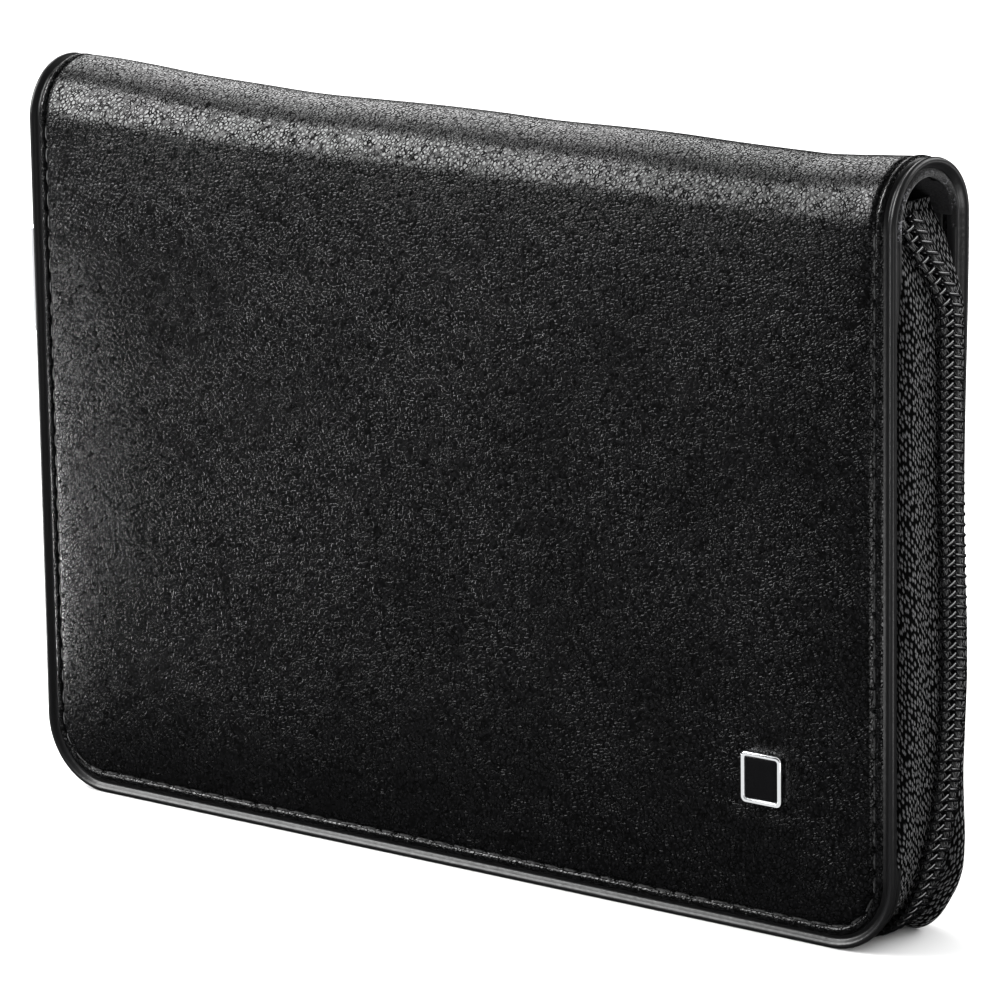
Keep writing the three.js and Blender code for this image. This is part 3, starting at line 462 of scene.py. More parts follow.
leather = pebbledLeather()
edgeLeather = turnedLeather()
tapeCloth = knittedTape()
nylon = nylonFilament()
thread = sewingThread()
chrome = chromePlate()
enamel = blackEnamel()
lining = napLining("microfibre lining")
litHemCloth = napLining("microfibre hem painted lighter")
steel = satinSteel()
print("materials made")


# Stage: camera, floor and lights. Angles in degrees, camera lengths in mm, lamp places in metres.

camera = {
    "azimuth": 38.0, "elevation": 13.63, "roll": -0.82, "distance": 871.36, "target": (3.19, 0.0, 51.59),
    "lens": 226.12, "sensor": 36.0, "farthest": 50.0,
}
floorHalf = 6.0
worldStrength = 1.18
lampAim = (0, 0, 0.055)
tentAim = (0, 0, 0.06)

# Softboxes and reflector cards: where each stands, the way its long side runs, its width and length and its
# power in watts. A flat one lies on the floor and faces up.
lamps = {
    "front tall box": {
        "at": (-0.62, -0.476, 0.515), "along": (0, 0.378, 0.55), "size": (0.34, 0.667), "power": 13.0,
    },
    "back tall box": {
        "at": (-0.6, 0.42, 0.655), "along": (0, -0.73, 0.55), "size": (0.34, 0.88), "power": 4.6,
    },
    "back right box": {"at": (0.5, 0.62, 0.5), "along": (0, 0, 1), "size": (0.7, 0.45), "power": 6.0},
    "left floor card": {
        "at": (-0.256, -0.068, 0.004), "flat": True, "along": (-0.95, -0.31, 0),
        "size": (0.03, 0.12), "power": 0.42,
    },
    "near floor card": {
        "at": (-0.158, -0.036, 0.004), "flat": True, "along": (-0.95, -0.31, 0),
        "size": (0.014, 0.074), "power": 0.13,
    },
    "right floor card": {
        "at": (0.235, -0.13, 0.004), "flat": True, "along": (0.79, -0.61, 0),
        "size": (0.06, 0.25), "power": 0.3,
    },
    "end floor card": {
        "at": (0.33, 0.32, 0.004), "flat": True, "along": (0.6, 0.77, 0),
        "size": (0.25, 0.25), "power": 0.55,
    },
}
# White tent seen by the metal alone, so that chrome and steel mirror white card and not the dark studio
tent = {
    "tent floor": {"at": (0, 0, 0.004), "flat": True, "along": (0, 1, 0), "size": (1.4, 1.4), "power": 7.0},
    "tent roof": {"at": (0, 0, 0.9), "aim": (0, 0, 0), "along": (0, 1, 0), "size": (1.2, 1.2), "power": 7.0},
    "tent left": {"at": (-0.7, 0, 0.4), "aim": tentAim, "along": (0, 0, 1), "size": (1.2, 0.7), "power": 3.4},
    "tent right": {"at": (0.7, 0, 0.4), "aim": tentAim, "along": (0, 0, 1), "size": (1.2, 0.7), "power": 3.4},
    "tent back": {"at": (0, 0.7, 0.4), "aim": tentAim, "along": (0, 0, 1), "size": (1.2, 0.7), "power": 3.0},
}


def placeCamera():
    a, e, r = [math.radians(camera[k]) for k in ("azimuth", "elevation", "roll")]
    behind = Vector((math.sin(a) * math.cos(e), -math.cos(a) * math.cos(e), math.sin(e)))
    across = Vector((math.cos(a), math.sin(a), 0))
    upward = behind.cross(across)
    right = across * math.cos(r) + upward * math.sin(r)
    top = upward * math.cos(r) - across * math.sin(r)
    data = bpy.data.cameras.new("studio camera")
    data.lens = camera["lens"]
    data.sensor_width = camera["sensor"]
    data.sensor_fit = "HORIZONTAL"
    data.clip_end = camera["farthest"]
    made = bpy.data.objects.new("studio camera", data)
    spot = (Vector(camera["target"]) + behind * camera["distance"]) * mm
    turn = Matrix((right, top, behind)).transposed().to_4x4()
    made.matrix_world = Matrix.Translation(spot) @ turn
    bpy.context.scene.collection.objects.link(made)
    bpy.context.scene.camera = made


def placeFloor():
    data = bpy.data.meshes.new("floor")
    corners = [(x * floorHalf, y * floorHalf, 0) for x, y in ((-1, -1), (1, -1), (1, 1), (-1, 1))]
    data.from_pydata(corners, [], [(0, 1, 2, 3)])
    data.materials.append(paleFloor())
    made = bpy.data.objects.new("floor", data)
    # glossy rays pass the floor, so that the leather doesn't mirror it
    made.visible_glossy = False
    bpy.context.scene.collection.objects.link(made)


def placeLamps(group, receivers=None):
    for name, lamp in group.items():
        data = bpy.data.lights.new(name, "AREA")
        data.shape = "RECTANGLE"
        data.size, data.size_y = lamp["size"]
        data.energy = lamp["power"]
        made = bpy.data.objects.new(name, data)
        at = Vector(lamp["at"])
        aim = Vector(lamp.get("aim", lampAim))
        behind = Vector((0, 0, -1)) if "flat" in lamp else (at - aim).normalized()
        along = Vector(lamp["along"])
        upward = (along - along.dot(behind) * behind).normalized()
        turn = Matrix((upward.cross(behind), upward, behind)).transposed().to_4x4()
        made.matrix_world = Matrix.Translation(at) @ turn
        made.visible_camera = False
        if receivers:
            made.light_linking.receiver_collection = receivers
        bpy.context.scene.collection.objects.link(made)


def placeWorld():
    world = bpy.data.worlds.new("studio white")
    world.use_nodes = True
    tree = world.node_tree
    tree.nodes.clear()
    light = addNode(tree, "ShaderNodeBackground", {"Color": (1, 1, 1, 1), "Strength": worldStrength})
    addNode(tree, "ShaderNodeOutputWorld", {"Surface": light.outputs[0]})
    world.cycles_visibility.glossy = False
    bpy.context.scene.world = world
    bpy.context.scene.view_settings.view_transform = "Standard"


placeCamera()
placeFloor()
placeLamps(lamps)
placeWorld()
print("stage set")


# Leather covers and spine

# Edge profile of a cover: (distance in from the edge, depth from the middle plane), from the turned hem
# inside, over the smooth bead, down the gap, over the grained strip and the stitch groove on to the padding.
edgeProfile = [
    (3.3, 6.02), (2.7, 5.95), (1.9, 5.82), (1.2, 5.76), (0.7, 5.82), (0.5, 6.0), (0.43, 6.25), (0.48, 6.5),
    (0.66, 6.72), (1.0, 6.86), (0.98, 6.98), (0.62, 7.12), (0.28, 7.42), (0.06, 7.68), (0.0, 7.95),
    (0.05, 8.2),
    (0.2, 8.42), (0.45, 8.5), (0.7, 8.44), (0.92, 8.24), (1.1, 7.98), (1.35, 7.84), (1.6, 7.92), (1.85, 8.2),
    (2.05, 8.42), (2.3, 8.52), (2.6, 8.54), (2.85, 8.49), (3.03, 8.32), (3.17, 8.12), (3.32, 8.3), (3.6, 8.6),
    (4.0, 8.7), (4.6, 8.83), (5.4, 8.93), (6.2, 9.01),
]
skinCounts = {"side": 210, "arc": 9, "bottom": 300, "arch": 26}
# The padded face: how far it crowns, how fast it rises from the border, where it falls to the fold
swell = {
    front: 1.3, back: 1.0, "rise": 20.0, "roundness": 2.6, "fallFrom": 79, "fallShare": 0.88, "puff": 0.17,
    "puffFrom": 2.7, "puffTo": 4.2, "reliefFrom": 6, "reliefTo": 16, "from": 3.5,
}
# The back border stands off where the hide leaves the board for the arch, at the right end
flare = {"out": 0.85, "fromX": 64, "toX": 75, "fromZ": 62, "toZ": 97}
arch = {"bodyHalf": 68.5, "taper": 3.9, "sagHalf": 72.4, "bodyCentre": 97.6}
# How far the middle of the spine has sunk below its ends, along X
sagKeys = [
    (-72.4, 0.1), (-69, 0.02), (-61.5, 0.28), (-51, 0.95), (-40, 1.3), (-29.5, 1.6), (-18, 1.4), (-8, 1.18),
    (3, 1.15), (13, 1.28), (23.5, 1.08), (33, 1.02), (43, 1.22), (53, 1.28), (58, 1.26), (62.5, 0.95),
    (67.5, 0.5), (72.4, 0.2),
]
badge = {"x": 54.9, "z": 22.4, "frame": 0.6, "corner": 0.8, "right": 0.8, "up": 0.4, "taller": 0.25}
# Which faces of the cover are turned leather, and which take the hem cloth painted lighter, at the arch's
# mouth near its top where light reaches (painted light)
edging = {"bead": 1.85, "lip": 1.5, "lipReach": 6.88, "lipFrom": 97, "straightFrom": 60}

# Slow unevenness of the padding: seeded waves, each (wavelength, height)
waves = ((70, 0.06), (48, 0.035), (33, 0.024), (21, 0.015), (14, 0.009), (9, 0.006))
reliefWaves = {side: [(rng.uniform(0, math.pi), rng.uniform(0, 2 * math.pi), length, height)
                      for length, height in waves] for side in (front, back)}


def panelDepth(side, x, z, inset):
    # depth of the padded face at a place, inset from the edge
    share = np.clip((inset - case["borderWidth"]) / swell["rise"], 0, 1)
    sideShare = 1 - (1 - share) ** swell["roundness"]
    fall = np.clip((z - swell["fallFrom"]) / (case["coverTop"] - swell["fallFrom"]), 0, 1)
    topShare = 1 - swell["fallShare"] * fall * fall
    puff = swell["puff"] * smooth(inset, swell["puffFrom"], swell["puffTo"]) * (1 - 0.5 * fall)
    relief = smooth(inset, swell["reliefFrom"], swell["reliefTo"]) * (1 - 0.6 * fall) * slowRelief(side, x, z)
    return case["halfDepth"] + swell[side] * sideShare * topShare + puff + relief


def slowRelief(side, x, z):
    total = np.zeros_like(np.asarray(x, float))
    for angle, phase, length, height in reliefWaves[side]:
        way = x * math.cos(angle) + z * math.sin(angle)
        total = total + height * np.sin(way * 2 * math.pi / length + phase)
    if side == front:
        total = total + badgeDimple(x, z)
    return total


dimple = {
    "depth": 0.34, "reach": 6.2, "pleatDepth": 0.05, "pleats": 7, "pleatReach": 6.6, "pleatWidth": 2.6,
    "rollHeight": 0.16, "rollDrop": 6.2, "rollShift": 1.0, "rollThick": 1.5, "rollLong": 5.0,
}


def badgeDimple(x, z):
    # the plate pulls the padding in, and the hide ripples beside and below it
    dx, dz = x - badge["x"], z - badge["z"]
    reach = np.sqrt(dx * dx + dz * dz)
    well = -dimple["depth"] * np.exp(-((reach / dimple["reach"]) ** 2))
    angle = np.arctan2(dz, dx)
    # the pleats are uneven and turn a little on their way out
    pleats = dimple["pleatDepth"] * np.sin(dimple["pleats"] * angle + 0.9 * np.sin(2 * angle) + reach * 0.5)
    ring = np.exp(-(((reach - dimple["pleatReach"]) / dimple["pleatWidth"]) ** 2))
    roll = dimple["rollHeight"] * np.exp(-(((dz + dimple["rollDrop"]) / dimple["rollThick"]) ** 2))
    roll = roll * np.exp(-(((dx + dimple["rollShift"]) / dimple["rollLong"]) ** 2))
    return well + pleats * ring + roll


def borderOutline(inset):
    # left side down, round both bottom corners, right side up, as (x, z)
    half, radius, top = case["halfWidth"], case["cornerRadius"], case["coverTop"]
    side = np.linspace(top, radius, skinCounts["side"] + 1)
    angles = np.linspace(math.pi, 1.5 * math.pi, 2 * skinCounts["arc"] + 1)
    bottom = np.linspace(radius - half, half - radius, skinCounts["bottom"] + 1)
    reach = radius - inset
    left = np.stack([np.full_like(side, inset - half), side], 1)
    corner = np.stack([radius - half + reach * np.cos(angles), radius + reach * np.sin(angles)], 1)
    base = np.stack([bottom, np.full_like(bottom, inset)], 1)
    mirror = (-1, 1)
    farCorner, right = corner[::-1] * mirror, left[::-1] * mirror
    return np.concatenate([left[:-1], corner[:-1], base[:-1], farCorner[:-1], right])


def panelGrid(edge, corner):
    # points inside the innermost border ring, by blending its four sides
    left = edge[:corner + 1][::-1]
    bottom = edge[corner:len(edge) - corner]
    right = edge[len(edge) - corner - 1:]
    u = np.linspace(0, 1, len(bottom))[None, :, None]
    v = np.linspace(0, 1, len(left))[:, None, None]
    topX = bottom[:, 0] * (edge[-1, 0] / bottom[-1, 0])
    top = np.stack([topX, np.full_like(topX, edge[0, 1])], 1)
    return ((1 - v) * bottom[None] + v * top[None] + (1 - u) * left[:, None] + u * right[:, None]
            - (1 - u) * (1 - v) * bottom[0] - u * (1 - v) * bottom[-1]
            - (1 - u) * v * top[0] - u * v * top[-1])


def insetAt(x, z):
    half, radius = case["halfWidth"], case["cornerRadius"]
    fromSide = half - np.abs(x)
    cx, cz = np.maximum(np.abs(x) - (half - radius), 0), np.maximum(radius - z, 0)
    round_ = radius - np.sqrt(cx * cx + cz * cz)
    return np.where((cx > 0) & (cz > 0), round_, np.minimum(fromSide, z))


def endFlare(side, x, z):
    if side == front:
        return np.zeros_like(x)
    return flare["out"] * smooth(x, flare["fromX"], flare["toX"]) * smooth(z, flare["fromZ"], flare["toZ"])


def archPoints(side, x, depth):
    # the section of the leather over the spine, from the fold to its crown, at each column
    share = np.linspace(0, 1, skinCounts["arch"] + 1)[1:, None]
    body = 1 - np.clip(np.abs(x) - arch["bodyHalf"], 0, arch["taper"]) / arch["taper"]
    inner = np.abs(x) < arch["sagHalf"]
    sag = softCurve(np.clip(x, -arch["sagHalf"], arch["sagHalf"]), sagKeys) * inner
    centre = mix(case["foldHeight"], arch["bodyCentre"], body)
    start = np.arcsin(np.clip((case["coverTop"] - centre) / case["halfDepth"], -1, 1))
    angle = start + (quarter - start) * share
    wide = depth / np.cos(start)
    seated = depth - endFlare(side, x, np.full_like(x, case["coverTop"]))
    tall = np.where(inner, case["foldHeight"] + case["halfDepth"] - sag - centre, seated)
    tall = tall + np.where(inner, (seated - case["halfDepth"]) * (1 - body), 0)
    y, z = side * wide * np.cos(angle), centre + tall * np.sin(angle)
    return np.stack([np.broadcast_to(x, angle.shape), y, z], 2)


def coverSkin(side, name):
    corner = skinCounts["side"] + skinCounts["arc"]
    rings = [borderOutline(inset) for inset, depth in edgeProfile]
    ringPoints = []
    for (inset, depth), ring in zip(edgeProfile, rings):
        x, z = ring[:, 0], ring[:, 1]
        padded = inset > swell["from"]
        y = panelDepth(side, x, z, np.full_like(x, inset)) if padded else np.full_like(x, depth)
        ringPoints.append(np.stack([x, side * (y + endFlare(side, x, z)), z], 1))
    gx, gz = np.moveaxis(panelGrid(rings[-1], corner), 2, 0)
    gy = panelDepth(side, gx, gz, insetAt(gx, gz)) + endFlare(side, gx, gz)
    interior = np.stack([gx, side * gy, gz], 2)
    n, k = len(rings[0]), len(rings)
    interior[:, 0] = ringPoints[-1][:corner + 1][::-1]
    interior[:, -1] = ringPoints[-1][n - corner - 1:]
    interior[0] = ringPoints[-1][corner:n - corner]
    rows, cols = interior.shape[:2]
    ringPart = np.stack(ringPoints)
    # the top row across the whole width: left rings, panel, right rings
    topRow = np.concatenate([ringPart[:, 0], interior[-1, 1:-1], ringPart[::-1, -1]])
    spine = archPoints(side, topRow[:, 0], np.abs(topRow[:, 1]))
    points = np.concatenate([ringPart.reshape(-1, 3), interior.reshape(-1, 3), spine.reshape(-1, 3)])
    faces = gridFaces(k, n, flip=side == front)
    faces += gridFaces(rows, cols, flip=side == back, first=k * n)
    # join the arch to the top row
    topIndex = [i * n for i in range(k)]
    topIndex += [k * n + (rows - 1) * cols + j for j in range(1, cols - 1)]
    topIndex += [i * n + n - 1 for i in range(k - 1, -1, -1)]
    firstArch = k * n + rows * cols
    width = len(topIndex)
    for j in range(width - 1):
        quad = (topIndex[j], topIndex[j + 1], firstArch + j + 1, firstArch + j)
        faces.append(quad if side == front else quad[::-1])
    faces += gridFaces(skinCounts["arch"], width, flip=side == back, first=firstArch)
    # the rings and the panel meet in doubled points, which are joined here
    made = turnOut(meshPiece(name, points, faces, leather), join=1e-7)
    made.data.materials.append(edgeLeather)
    made.data.materials.append(litHemCloth)
    centres = np.zeros(len(made.data.polygons) * 3)
    made.data.polygons.foreach_get("center", centres)
    x, y, z = centres.reshape(-1, 3).T / mm
    inset = np.where(z > edging["straightFrom"], case["halfWidth"] - np.abs(x), insetAt(x, z))
    bead = (inset < edging["bead"]).astype(int)
    fromFold = np.hypot(y, np.maximum(z - case["foldHeight"], 0))
    # the lighter hem copy is painted light: it goes only on the lip near the top of the arch
    lip = (inset < edging["lip"]) & (fromFold < edging["lipReach"]) & (z > edging["lipFrom"])
    made.data.polygons.foreach_set("material_index", np.where(lip, 2, bead))
    made.data.polygons.foreach_set("use_smooth", [True] * len(made.data.polygons))
    return made


frontSkin = coverSkin(front, "front_skin")
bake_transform(frontSkin)
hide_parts("front_leather", "front_border", "spine_leather", "spine_binding_left",
            "spine_binding_right")
backSkin = coverSkin(back, "back_skin")
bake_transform(backSkin)
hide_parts("back_leather", "back_border", "spine_leather")
print("leather skins made")


# Zip: way round the edge, tapes, coil halves, cords and binder yarns

zipRun = {
    "pitch": 1.4, "slideCrest": 1.0, "bottomCrest": -0.1, "backDrift": 0.8, "driftFrom": -14, "driftTo": 6,
    "tuckStart": 86.0, "tuckEnd": 100.8, "tuckCrest": -1.0, "tuckDrift": 2.7, "chainTopLeft": 92.0,
    "reach": 2.85,
}
coil = {
    "filament": 0.62, "thickness": 1.5, "steps": 20, "sides": 8, "cord": 0.5, "cordReach": 1.5,
    "binder": 0.16, "headBulge": 0.12, "legArch": 0.06, "headDraw": 0.15, "up": (0.3, 0.2, 0.93),
}
# Each binder yarn as (distance from the middle, share of a turn by which it lags), then its depth and swing
binders = ((1.05, 0.35), (1.95, 0.2))
binderDepth, binderLift, binderSway = 0.62, 0.2, 0.1
# Crest of the chain by the way past the start of the right bottom corner: it sinks between the covers there
cornerCrest = [
    (-60, 3.35), (-17, 3.4), (-12.5, 3.0), (-8.5, 2.55), (-5.5, 2.05), (-2.5, 1.4), (0, 0.85), (1.5, 0.5),
    (4.2, 0.15), (7.2, 0.02), (10, 0.08), (13, 0.0), (16.5, -0.1),
]
sideRun = case["coverTop"] - case["cornerRadius"]
cornerRun = quarter * case["cornerRadius"]
bottomRun = 2 * (case["halfWidth"] - case["cornerRadius"])
wholeRun = 2 * (sideRun + cornerRun) + bottomRun
chainStart = case["coverTop"] - zipRun["chainTopLeft"]
chainEnd = wholeRun - (case["coverTop"] - zipRun["tuckEnd"]) - zipRun["pitch"]


def edgeFrame(run):
    # place on the edge and the way out from it, measured from the top of the left side
    run = np.asarray(run, float)
    hand = np.where(run < wholeRun / 2, -1.0, 1.0)
    way = np.where(run < wholeRun / 2, run, wholeRun - run)
    radius, half = case["cornerRadius"], case["halfWidth"]
    angle = np.clip((way - sideRun) / radius, 0, quarter)
    outX, outZ = np.cos(angle), -np.sin(angle)
    x = half - radius + radius * outX - np.clip(way - sideRun - cornerRun, 0, None)
    z = np.where(way < sideRun, case["coverTop"] - way, radius + radius * outZ)
    return hand * x, z, hand * outX, outZ


def edgePoint(run, offset, y):
    x, z, outX, outZ = edgeFrame(run)
    return np.stack(np.broadcast_arrays(x + outX * offset, y, z + outZ * offset), -1)


def pastCorner(run):
    # way past the start of the right bottom corner
    return wholeRun - run - sideRun


def crestAt(run):
    run = np.asarray(run, float)
    z = edgeFrame(run)[1]
    left = mix(zipRun["slideCrest"], zipRun["bottomCrest"], smooth(run, sideRun, sideRun + cornerRun))
    risen = softCurve(pastCorner(run), cornerCrest)
    right = mix(risen, zipRun["tuckCrest"], smooth(z, zipRun["tuckStart"], zipRun["tuckEnd"]))
    return np.where(run < wholeRun / 2, left, right)


def driftAt(run):
    run = np.asarray(run, float)
    z = edgeFrame(run)[1]
    tucked = -(zipRun["tuckDrift"] + zipRun["backDrift"]) * smooth(z, zipRun["tuckStart"], zipRun["tuckEnd"])
    before = 1 - smooth(pastCorner(run), zipRun["driftFrom"], zipRun["driftTo"])
    drift = tucked + zipRun["backDrift"] * before
    return np.where(run < wholeRun / 2, 0.0, drift)


def coilHalf(side, name, pitch, teeth, shift):
    # one filament wound flat: legs on the outside and below, heads to the middle, heels on the tape
    turn = np.arange(teeth * coil["steps"] + 1) / coil["steps"]
    radius = coil["filament"] / 2
    half = coil["thickness"] / 2 - radius
    inner, outer = 0.05 + half, zipRun["reach"] - radius - half
    flat = outer - inner
    way = (turn % 1) * (2 * flat + 2 * math.pi * half)
    legs = [flat, flat + math.pi * half, 2 * flat + math.pi * half]
    reach = np.where(way < legs[0], outer - way, np.where(
        way < legs[1], inner - half * np.sin((way - legs[0]) / half), np.where(
            way < legs[2], inner + (way - legs[1]), outer + half * np.sin((way - legs[2]) / half))))
    level = np.where(way < legs[0], 1.0, np.where(
        way < legs[1], np.cos((way - legs[0]) / half), np.where(
            way < legs[2], -1.0, -np.cos((way - legs[2]) / half))))
    run = chainStart + shift + turn * pitch
    arched = coil["legArch"] * np.sin(math.pi * np.clip((reach - inner) / flat, 0, 1)) * (level > 0.9)
    drop = coil["thickness"] / 2 + 0.02 - level * half - arched
    head = smooth(np.clip((inner - reach) / half, 0, 1), 0, 1)
    path = edgePoint(run, crestAt(run) - drop, driftAt(run) + side * (reach - coil["headDraw"] * head))
    return tubes(name, [path], radius * (1 + coil["headBulge"] * head), coil["sides"], nylon, coil["up"])


def zipCord(side, name, pitch, teeth, shift):
    # filler cord inside the coil
    run = np.linspace(chainStart + shift, chainStart + shift + teeth * pitch, teeth * 2)
    path = edgePoint(run, crestAt(run) - coil["thickness"] / 2, driftAt(run) + side * coil["cordReach"])
    return tubes(name, [path], coil["cord"] / 2, 8, thread, coil["up"])


def binderYarn(side, name, pitch, teeth, shift):
    # two yarns that tie each leg of the coil to the tape
    paths = []
    turn = np.arange(teeth * 8) / 8
    run = chainStart + shift + turn * pitch
    for reach, phase in binders:
        lag = 2 * math.pi * (turn - phase)
        depth = binderDepth - binderLift * np.cos(lag)
        sway = binderSway * np.sin(lag * 0.5)
        paths.append(edgePoint(run, crestAt(run) - depth, driftAt(run) + side * (reach + sway)))
    return tubes(name, paths, coil["binder"] / 2, 5, thread, coil["up"])


# Section of the tape from under the lip to the heel of the coil: where it starts, where it ends and its fold
tape = {
    "offset": -0.75, "reach": 6.6, "tuckReach": 5.5, "tuckOffset": -1.3, "heel": 2.95, "heelMost": 4.9,
    "fold": 0.4, "under": 0.42, "half": 0.21, "lowFrom": 82, "lowTo": 101, "deepFrom": 96, "deep": 1.2,
    "columns": 720,
    "wayIn": 15, "wayUnder": 5, "frontBow": 0.05, "inside": 40,
}
# Slack of the cloth along its way: height, wavelength and phase of each wave
slackWaves = ((0.05, 23, 1.0), (0.03, 9.1, 0.0))
# How much of its rise and of its reach towards the middle the tape has made, by the share of its way
tapeRiseShares = [
    (0, 0), (0.1, 0.42), (0.2, 0.68), (0.32, 0.82), (0.45, 0.85), (0.6, 0.83), (0.8, 0.86), (1, 1.0),
]
tapeReachShares = [
    (0, 0), (0.1, 0.02), (0.2, 0.07), (0.32, 0.19), (0.45, 0.38), (0.6, 0.58), (0.8, 0.82), (1, 1.0),
]
# The back half of the tape is slack and bows out over the border, more towards the fold
tapeBowShares = [
    (0, 0), (0.1, 0.3), (0.22, 0.75), (0.36, 1.0), (0.5, 0.9), (0.66, 0.55), (0.82, 0.2), (1, 0.0),
]
backBow = [
    (-78, -0.1), (-62, -0.25), (-54, -0.3), (-46, -0.18), (-38, 0), (-29, 0.13), (-21, 0.2), (-12, 0.45),
    (-7, 1.1), (-3, 2.0), (0, 2.4), (4.5, 2.4), (9, 2.6), (12, 2.4), (14.2, 1.4), (16.5, 0),
]


def zipTape(side, name):
    # cloth from under the border out to the heel of the coil, with its folded edge below the coil
    last = wholeRun - (case["coverTop"] - zipRun["tuckEnd"])
    runs = np.linspace(0.05, last, tape["columns"])
    right, z = runs > wholeRun / 2, edgeFrame(runs)[1]
    drift = side * driftAt(runs)
    deeper = tape["deep"] * smooth(z, tape["deepFrom"], tape["lowTo"]) * right
    level = crestAt(runs) - coil["thickness"] - tape["under"] - deeper
    low = smooth(z, tape["lowFrom"], tape["lowTo"]) * right
    root = mix(tape["offset"], np.minimum(tape["tuckOffset"], level), low)
    start = mix(tape["reach"], tape["tuckReach"], low)
    heel = np.minimum(tape["heel"] + drift, tape["heelMost"])
    share = np.linspace(0, 1, tape["wayIn"])[:, None]
    bow = softCurve(pastCorner(runs), backBow) * (1 - 0.7 * low) * right
    if side == front:
        bow = tape["frontBow"] * smooth(level, -2.3, 1.0)
    offset = mix(root, level, softCurve(share, tapeRiseShares)) + bow * softCurve(share, tapeBowShares)
    reach = mix(start, heel, softCurve(share, tapeReachShares))
    under = np.linspace(0, 1, tape["wayUnder"] + 1)[1:, None]
    offset = np.concatenate([offset, level - 0.1 * under])
    reach = np.concatenate([reach, mix(heel, np.minimum(tape["fold"] + drift, heel - 0.5), under)])
    slack = sum(height * np.sin(runs * 2 * math.pi / length + phase) for height, length, phase in slackWaves)
    steps = np.arange(len(offset))
    offset = offset + slack * np.sin(math.pi * np.clip(steps / (tape["wayIn"] - 1), 0, 1))[:, None]
    line = np.stack([offset, reach], -1)
    tangent = np.gradient(line, axis=0)
    tangent /= np.linalg.norm(tangent, axis=-1, keepdims=True)
    normal = np.stack([-tangent[..., 1], tangent[..., 0]], -1)
    ring = np.concatenate([line - normal * tape["half"], (line + normal * tape["half"])[::-1]])
    points = edgePoint(np.broadcast_to(runs, ring.shape[:2]), ring[..., 0], side * ring[..., 1])
    lengths = np.linalg.norm(np.diff(line, axis=0), axis=-1)
    along = np.concatenate([np.zeros((1, len(runs))), np.cumsum(lengths, axis=0)])
    # the inside of the cloth takes its own part of the pattern
    across = np.concatenate([along, along[::-1] + tape["inside"]])
    uv = np.stack(np.broadcast_arrays(runs[None, :], across), -1)
    return ringLoft(name, np.swapaxes(points, 0, 1), tapeCloth, uv=np.swapaxes(uv, 0, 1).reshape(-1, 2))


toothCount = round((chainEnd - chainStart) / zipRun["pitch"])
toothPitch = (chainEnd - chainStart) / toothCount
for side, cover in covers:
    chain = (toothPitch, toothCount, 0 if side == front else toothPitch / 2)
    body = cover + "_cover"
    place(coilHalf(side, cover + "_coil", *chain), body, cover + "_zip_chain", slot="nylon_coil")
    place(zipCord(side, cover + "_zip_cord", *chain), body, slot="zip_tape")
    place(binderYarn(side, cover + "_binder_yarn", *chain), body, slot="zip_tape")
    place(zipTape(side, cover + "_tape_cloth"), body, cover + "_zip_tape", slot="zip_tape")
print("zip made")


# Stitches in rows: one black stitch after another, with its ends sunk in the hide or the cloth

threadUp = (0.1, 1, 0.1)
borderSeam = {"pitch": 3.2, "length": 2.4, "points": 9, "jitter": 0.06, "radius": 0.18}
borderSeat = {"inset": 3.18, "depth": 8.24, "sink": 0.34}
panelSeam = {"pitch": 2.6, "length": 1.9, "points": 7, "jitter": 0.0, "radius": 0.15}


def seam(name, half, bottom, top, radius, level, sink, row):
    # down the left side, along the bottom and up the right side
    straight, bend = top - bottom - radius, quarter * radius
    whole = 2 * (straight + bend + half - radius)
    count = int(whole // row["pitch"])
    share = np.linspace(-0.5, 0.5, row["points"])
    paths = []
    for n in range(count):
        middle = (n + 0.5) * whole / count
        if row["jitter"]:
            middle += rng.uniform(-row["jitter"], row["jitter"])
        way = middle + share * row["length"]
        hand = -1 if middle < whole / 2 else 1
        way = way if hand < 0 else whole - way
        angle = np.clip((way - straight) / radius, 0, quarter)
        x = half - radius + radius * np.cos(angle) - np.clip(way - straight - bend, 0, None)
        z = np.where(way < straight, top - way, bottom + radius - radius * np.sin(angle))
        paths.append(np.stack([hand * x, level + sink * np.abs(2 * share) ** 3, z], 1))
    return tubes(name, paths, row["radius"], 6, thread, threadUp)


for side, cover in covers:
    inset = borderSeat["inset"]
    half, radius = case["halfWidth"] - inset, case["cornerRadius"] - inset
    stitches = seam(cover + "_border_stitches", half, inset, case["coverTop"], radius,
                    side * borderSeat["depth"], -side * borderSeat["sink"], borderSeam)
    place(stitches, cover + "_cover", slot="turned_leather")
print("stitches made")


# Badge: chromed frame round an enamelled plate

seatLow, seatHigh = boxOf("badge_frame")
badgeSeat = {
    "x": (seatLow[0] + seatHigh[0]) / 2 + badge["right"], "z": (seatLow[2] + seatHigh[2]) / 2 + badge["up"],
    "face": seatLow[1], "seat": seatHigh[1], "half": (seatHigh[0] - seatLow[0]) / 2,
}
badgeCornerSteps = 7
# Frame section as (distance in from the outer edge, loss of corner radius, depth behind the face); the foot
# goes 0.25 mm deeper than the CAD seat
frameSection = [(0.0, 0.0, 0.22), (0.05, 0.05, 0.07), (0.16, 0.14, 0.0)]
frameInside = [(0.12, 0.3, 0.0), (0.02, 0.38, 0.05), (0.0, 0.4, 0.4)]
# Domed plate as (share of the half width, corner radius, depth behind its level); its rearmost ring is
# doubled, which keeps that edge sharp in the smooth shading
plateShares = [
    (1, 0.42, 0.3), (1, 0.42, 0.3), (1, 0.4, 0.03), (0.97, 0.38, 0.0), (0.8, 0.3, -0.02), (0.5, 0.2, -0.035),
    (0.2, 0.08, -0.04),
]


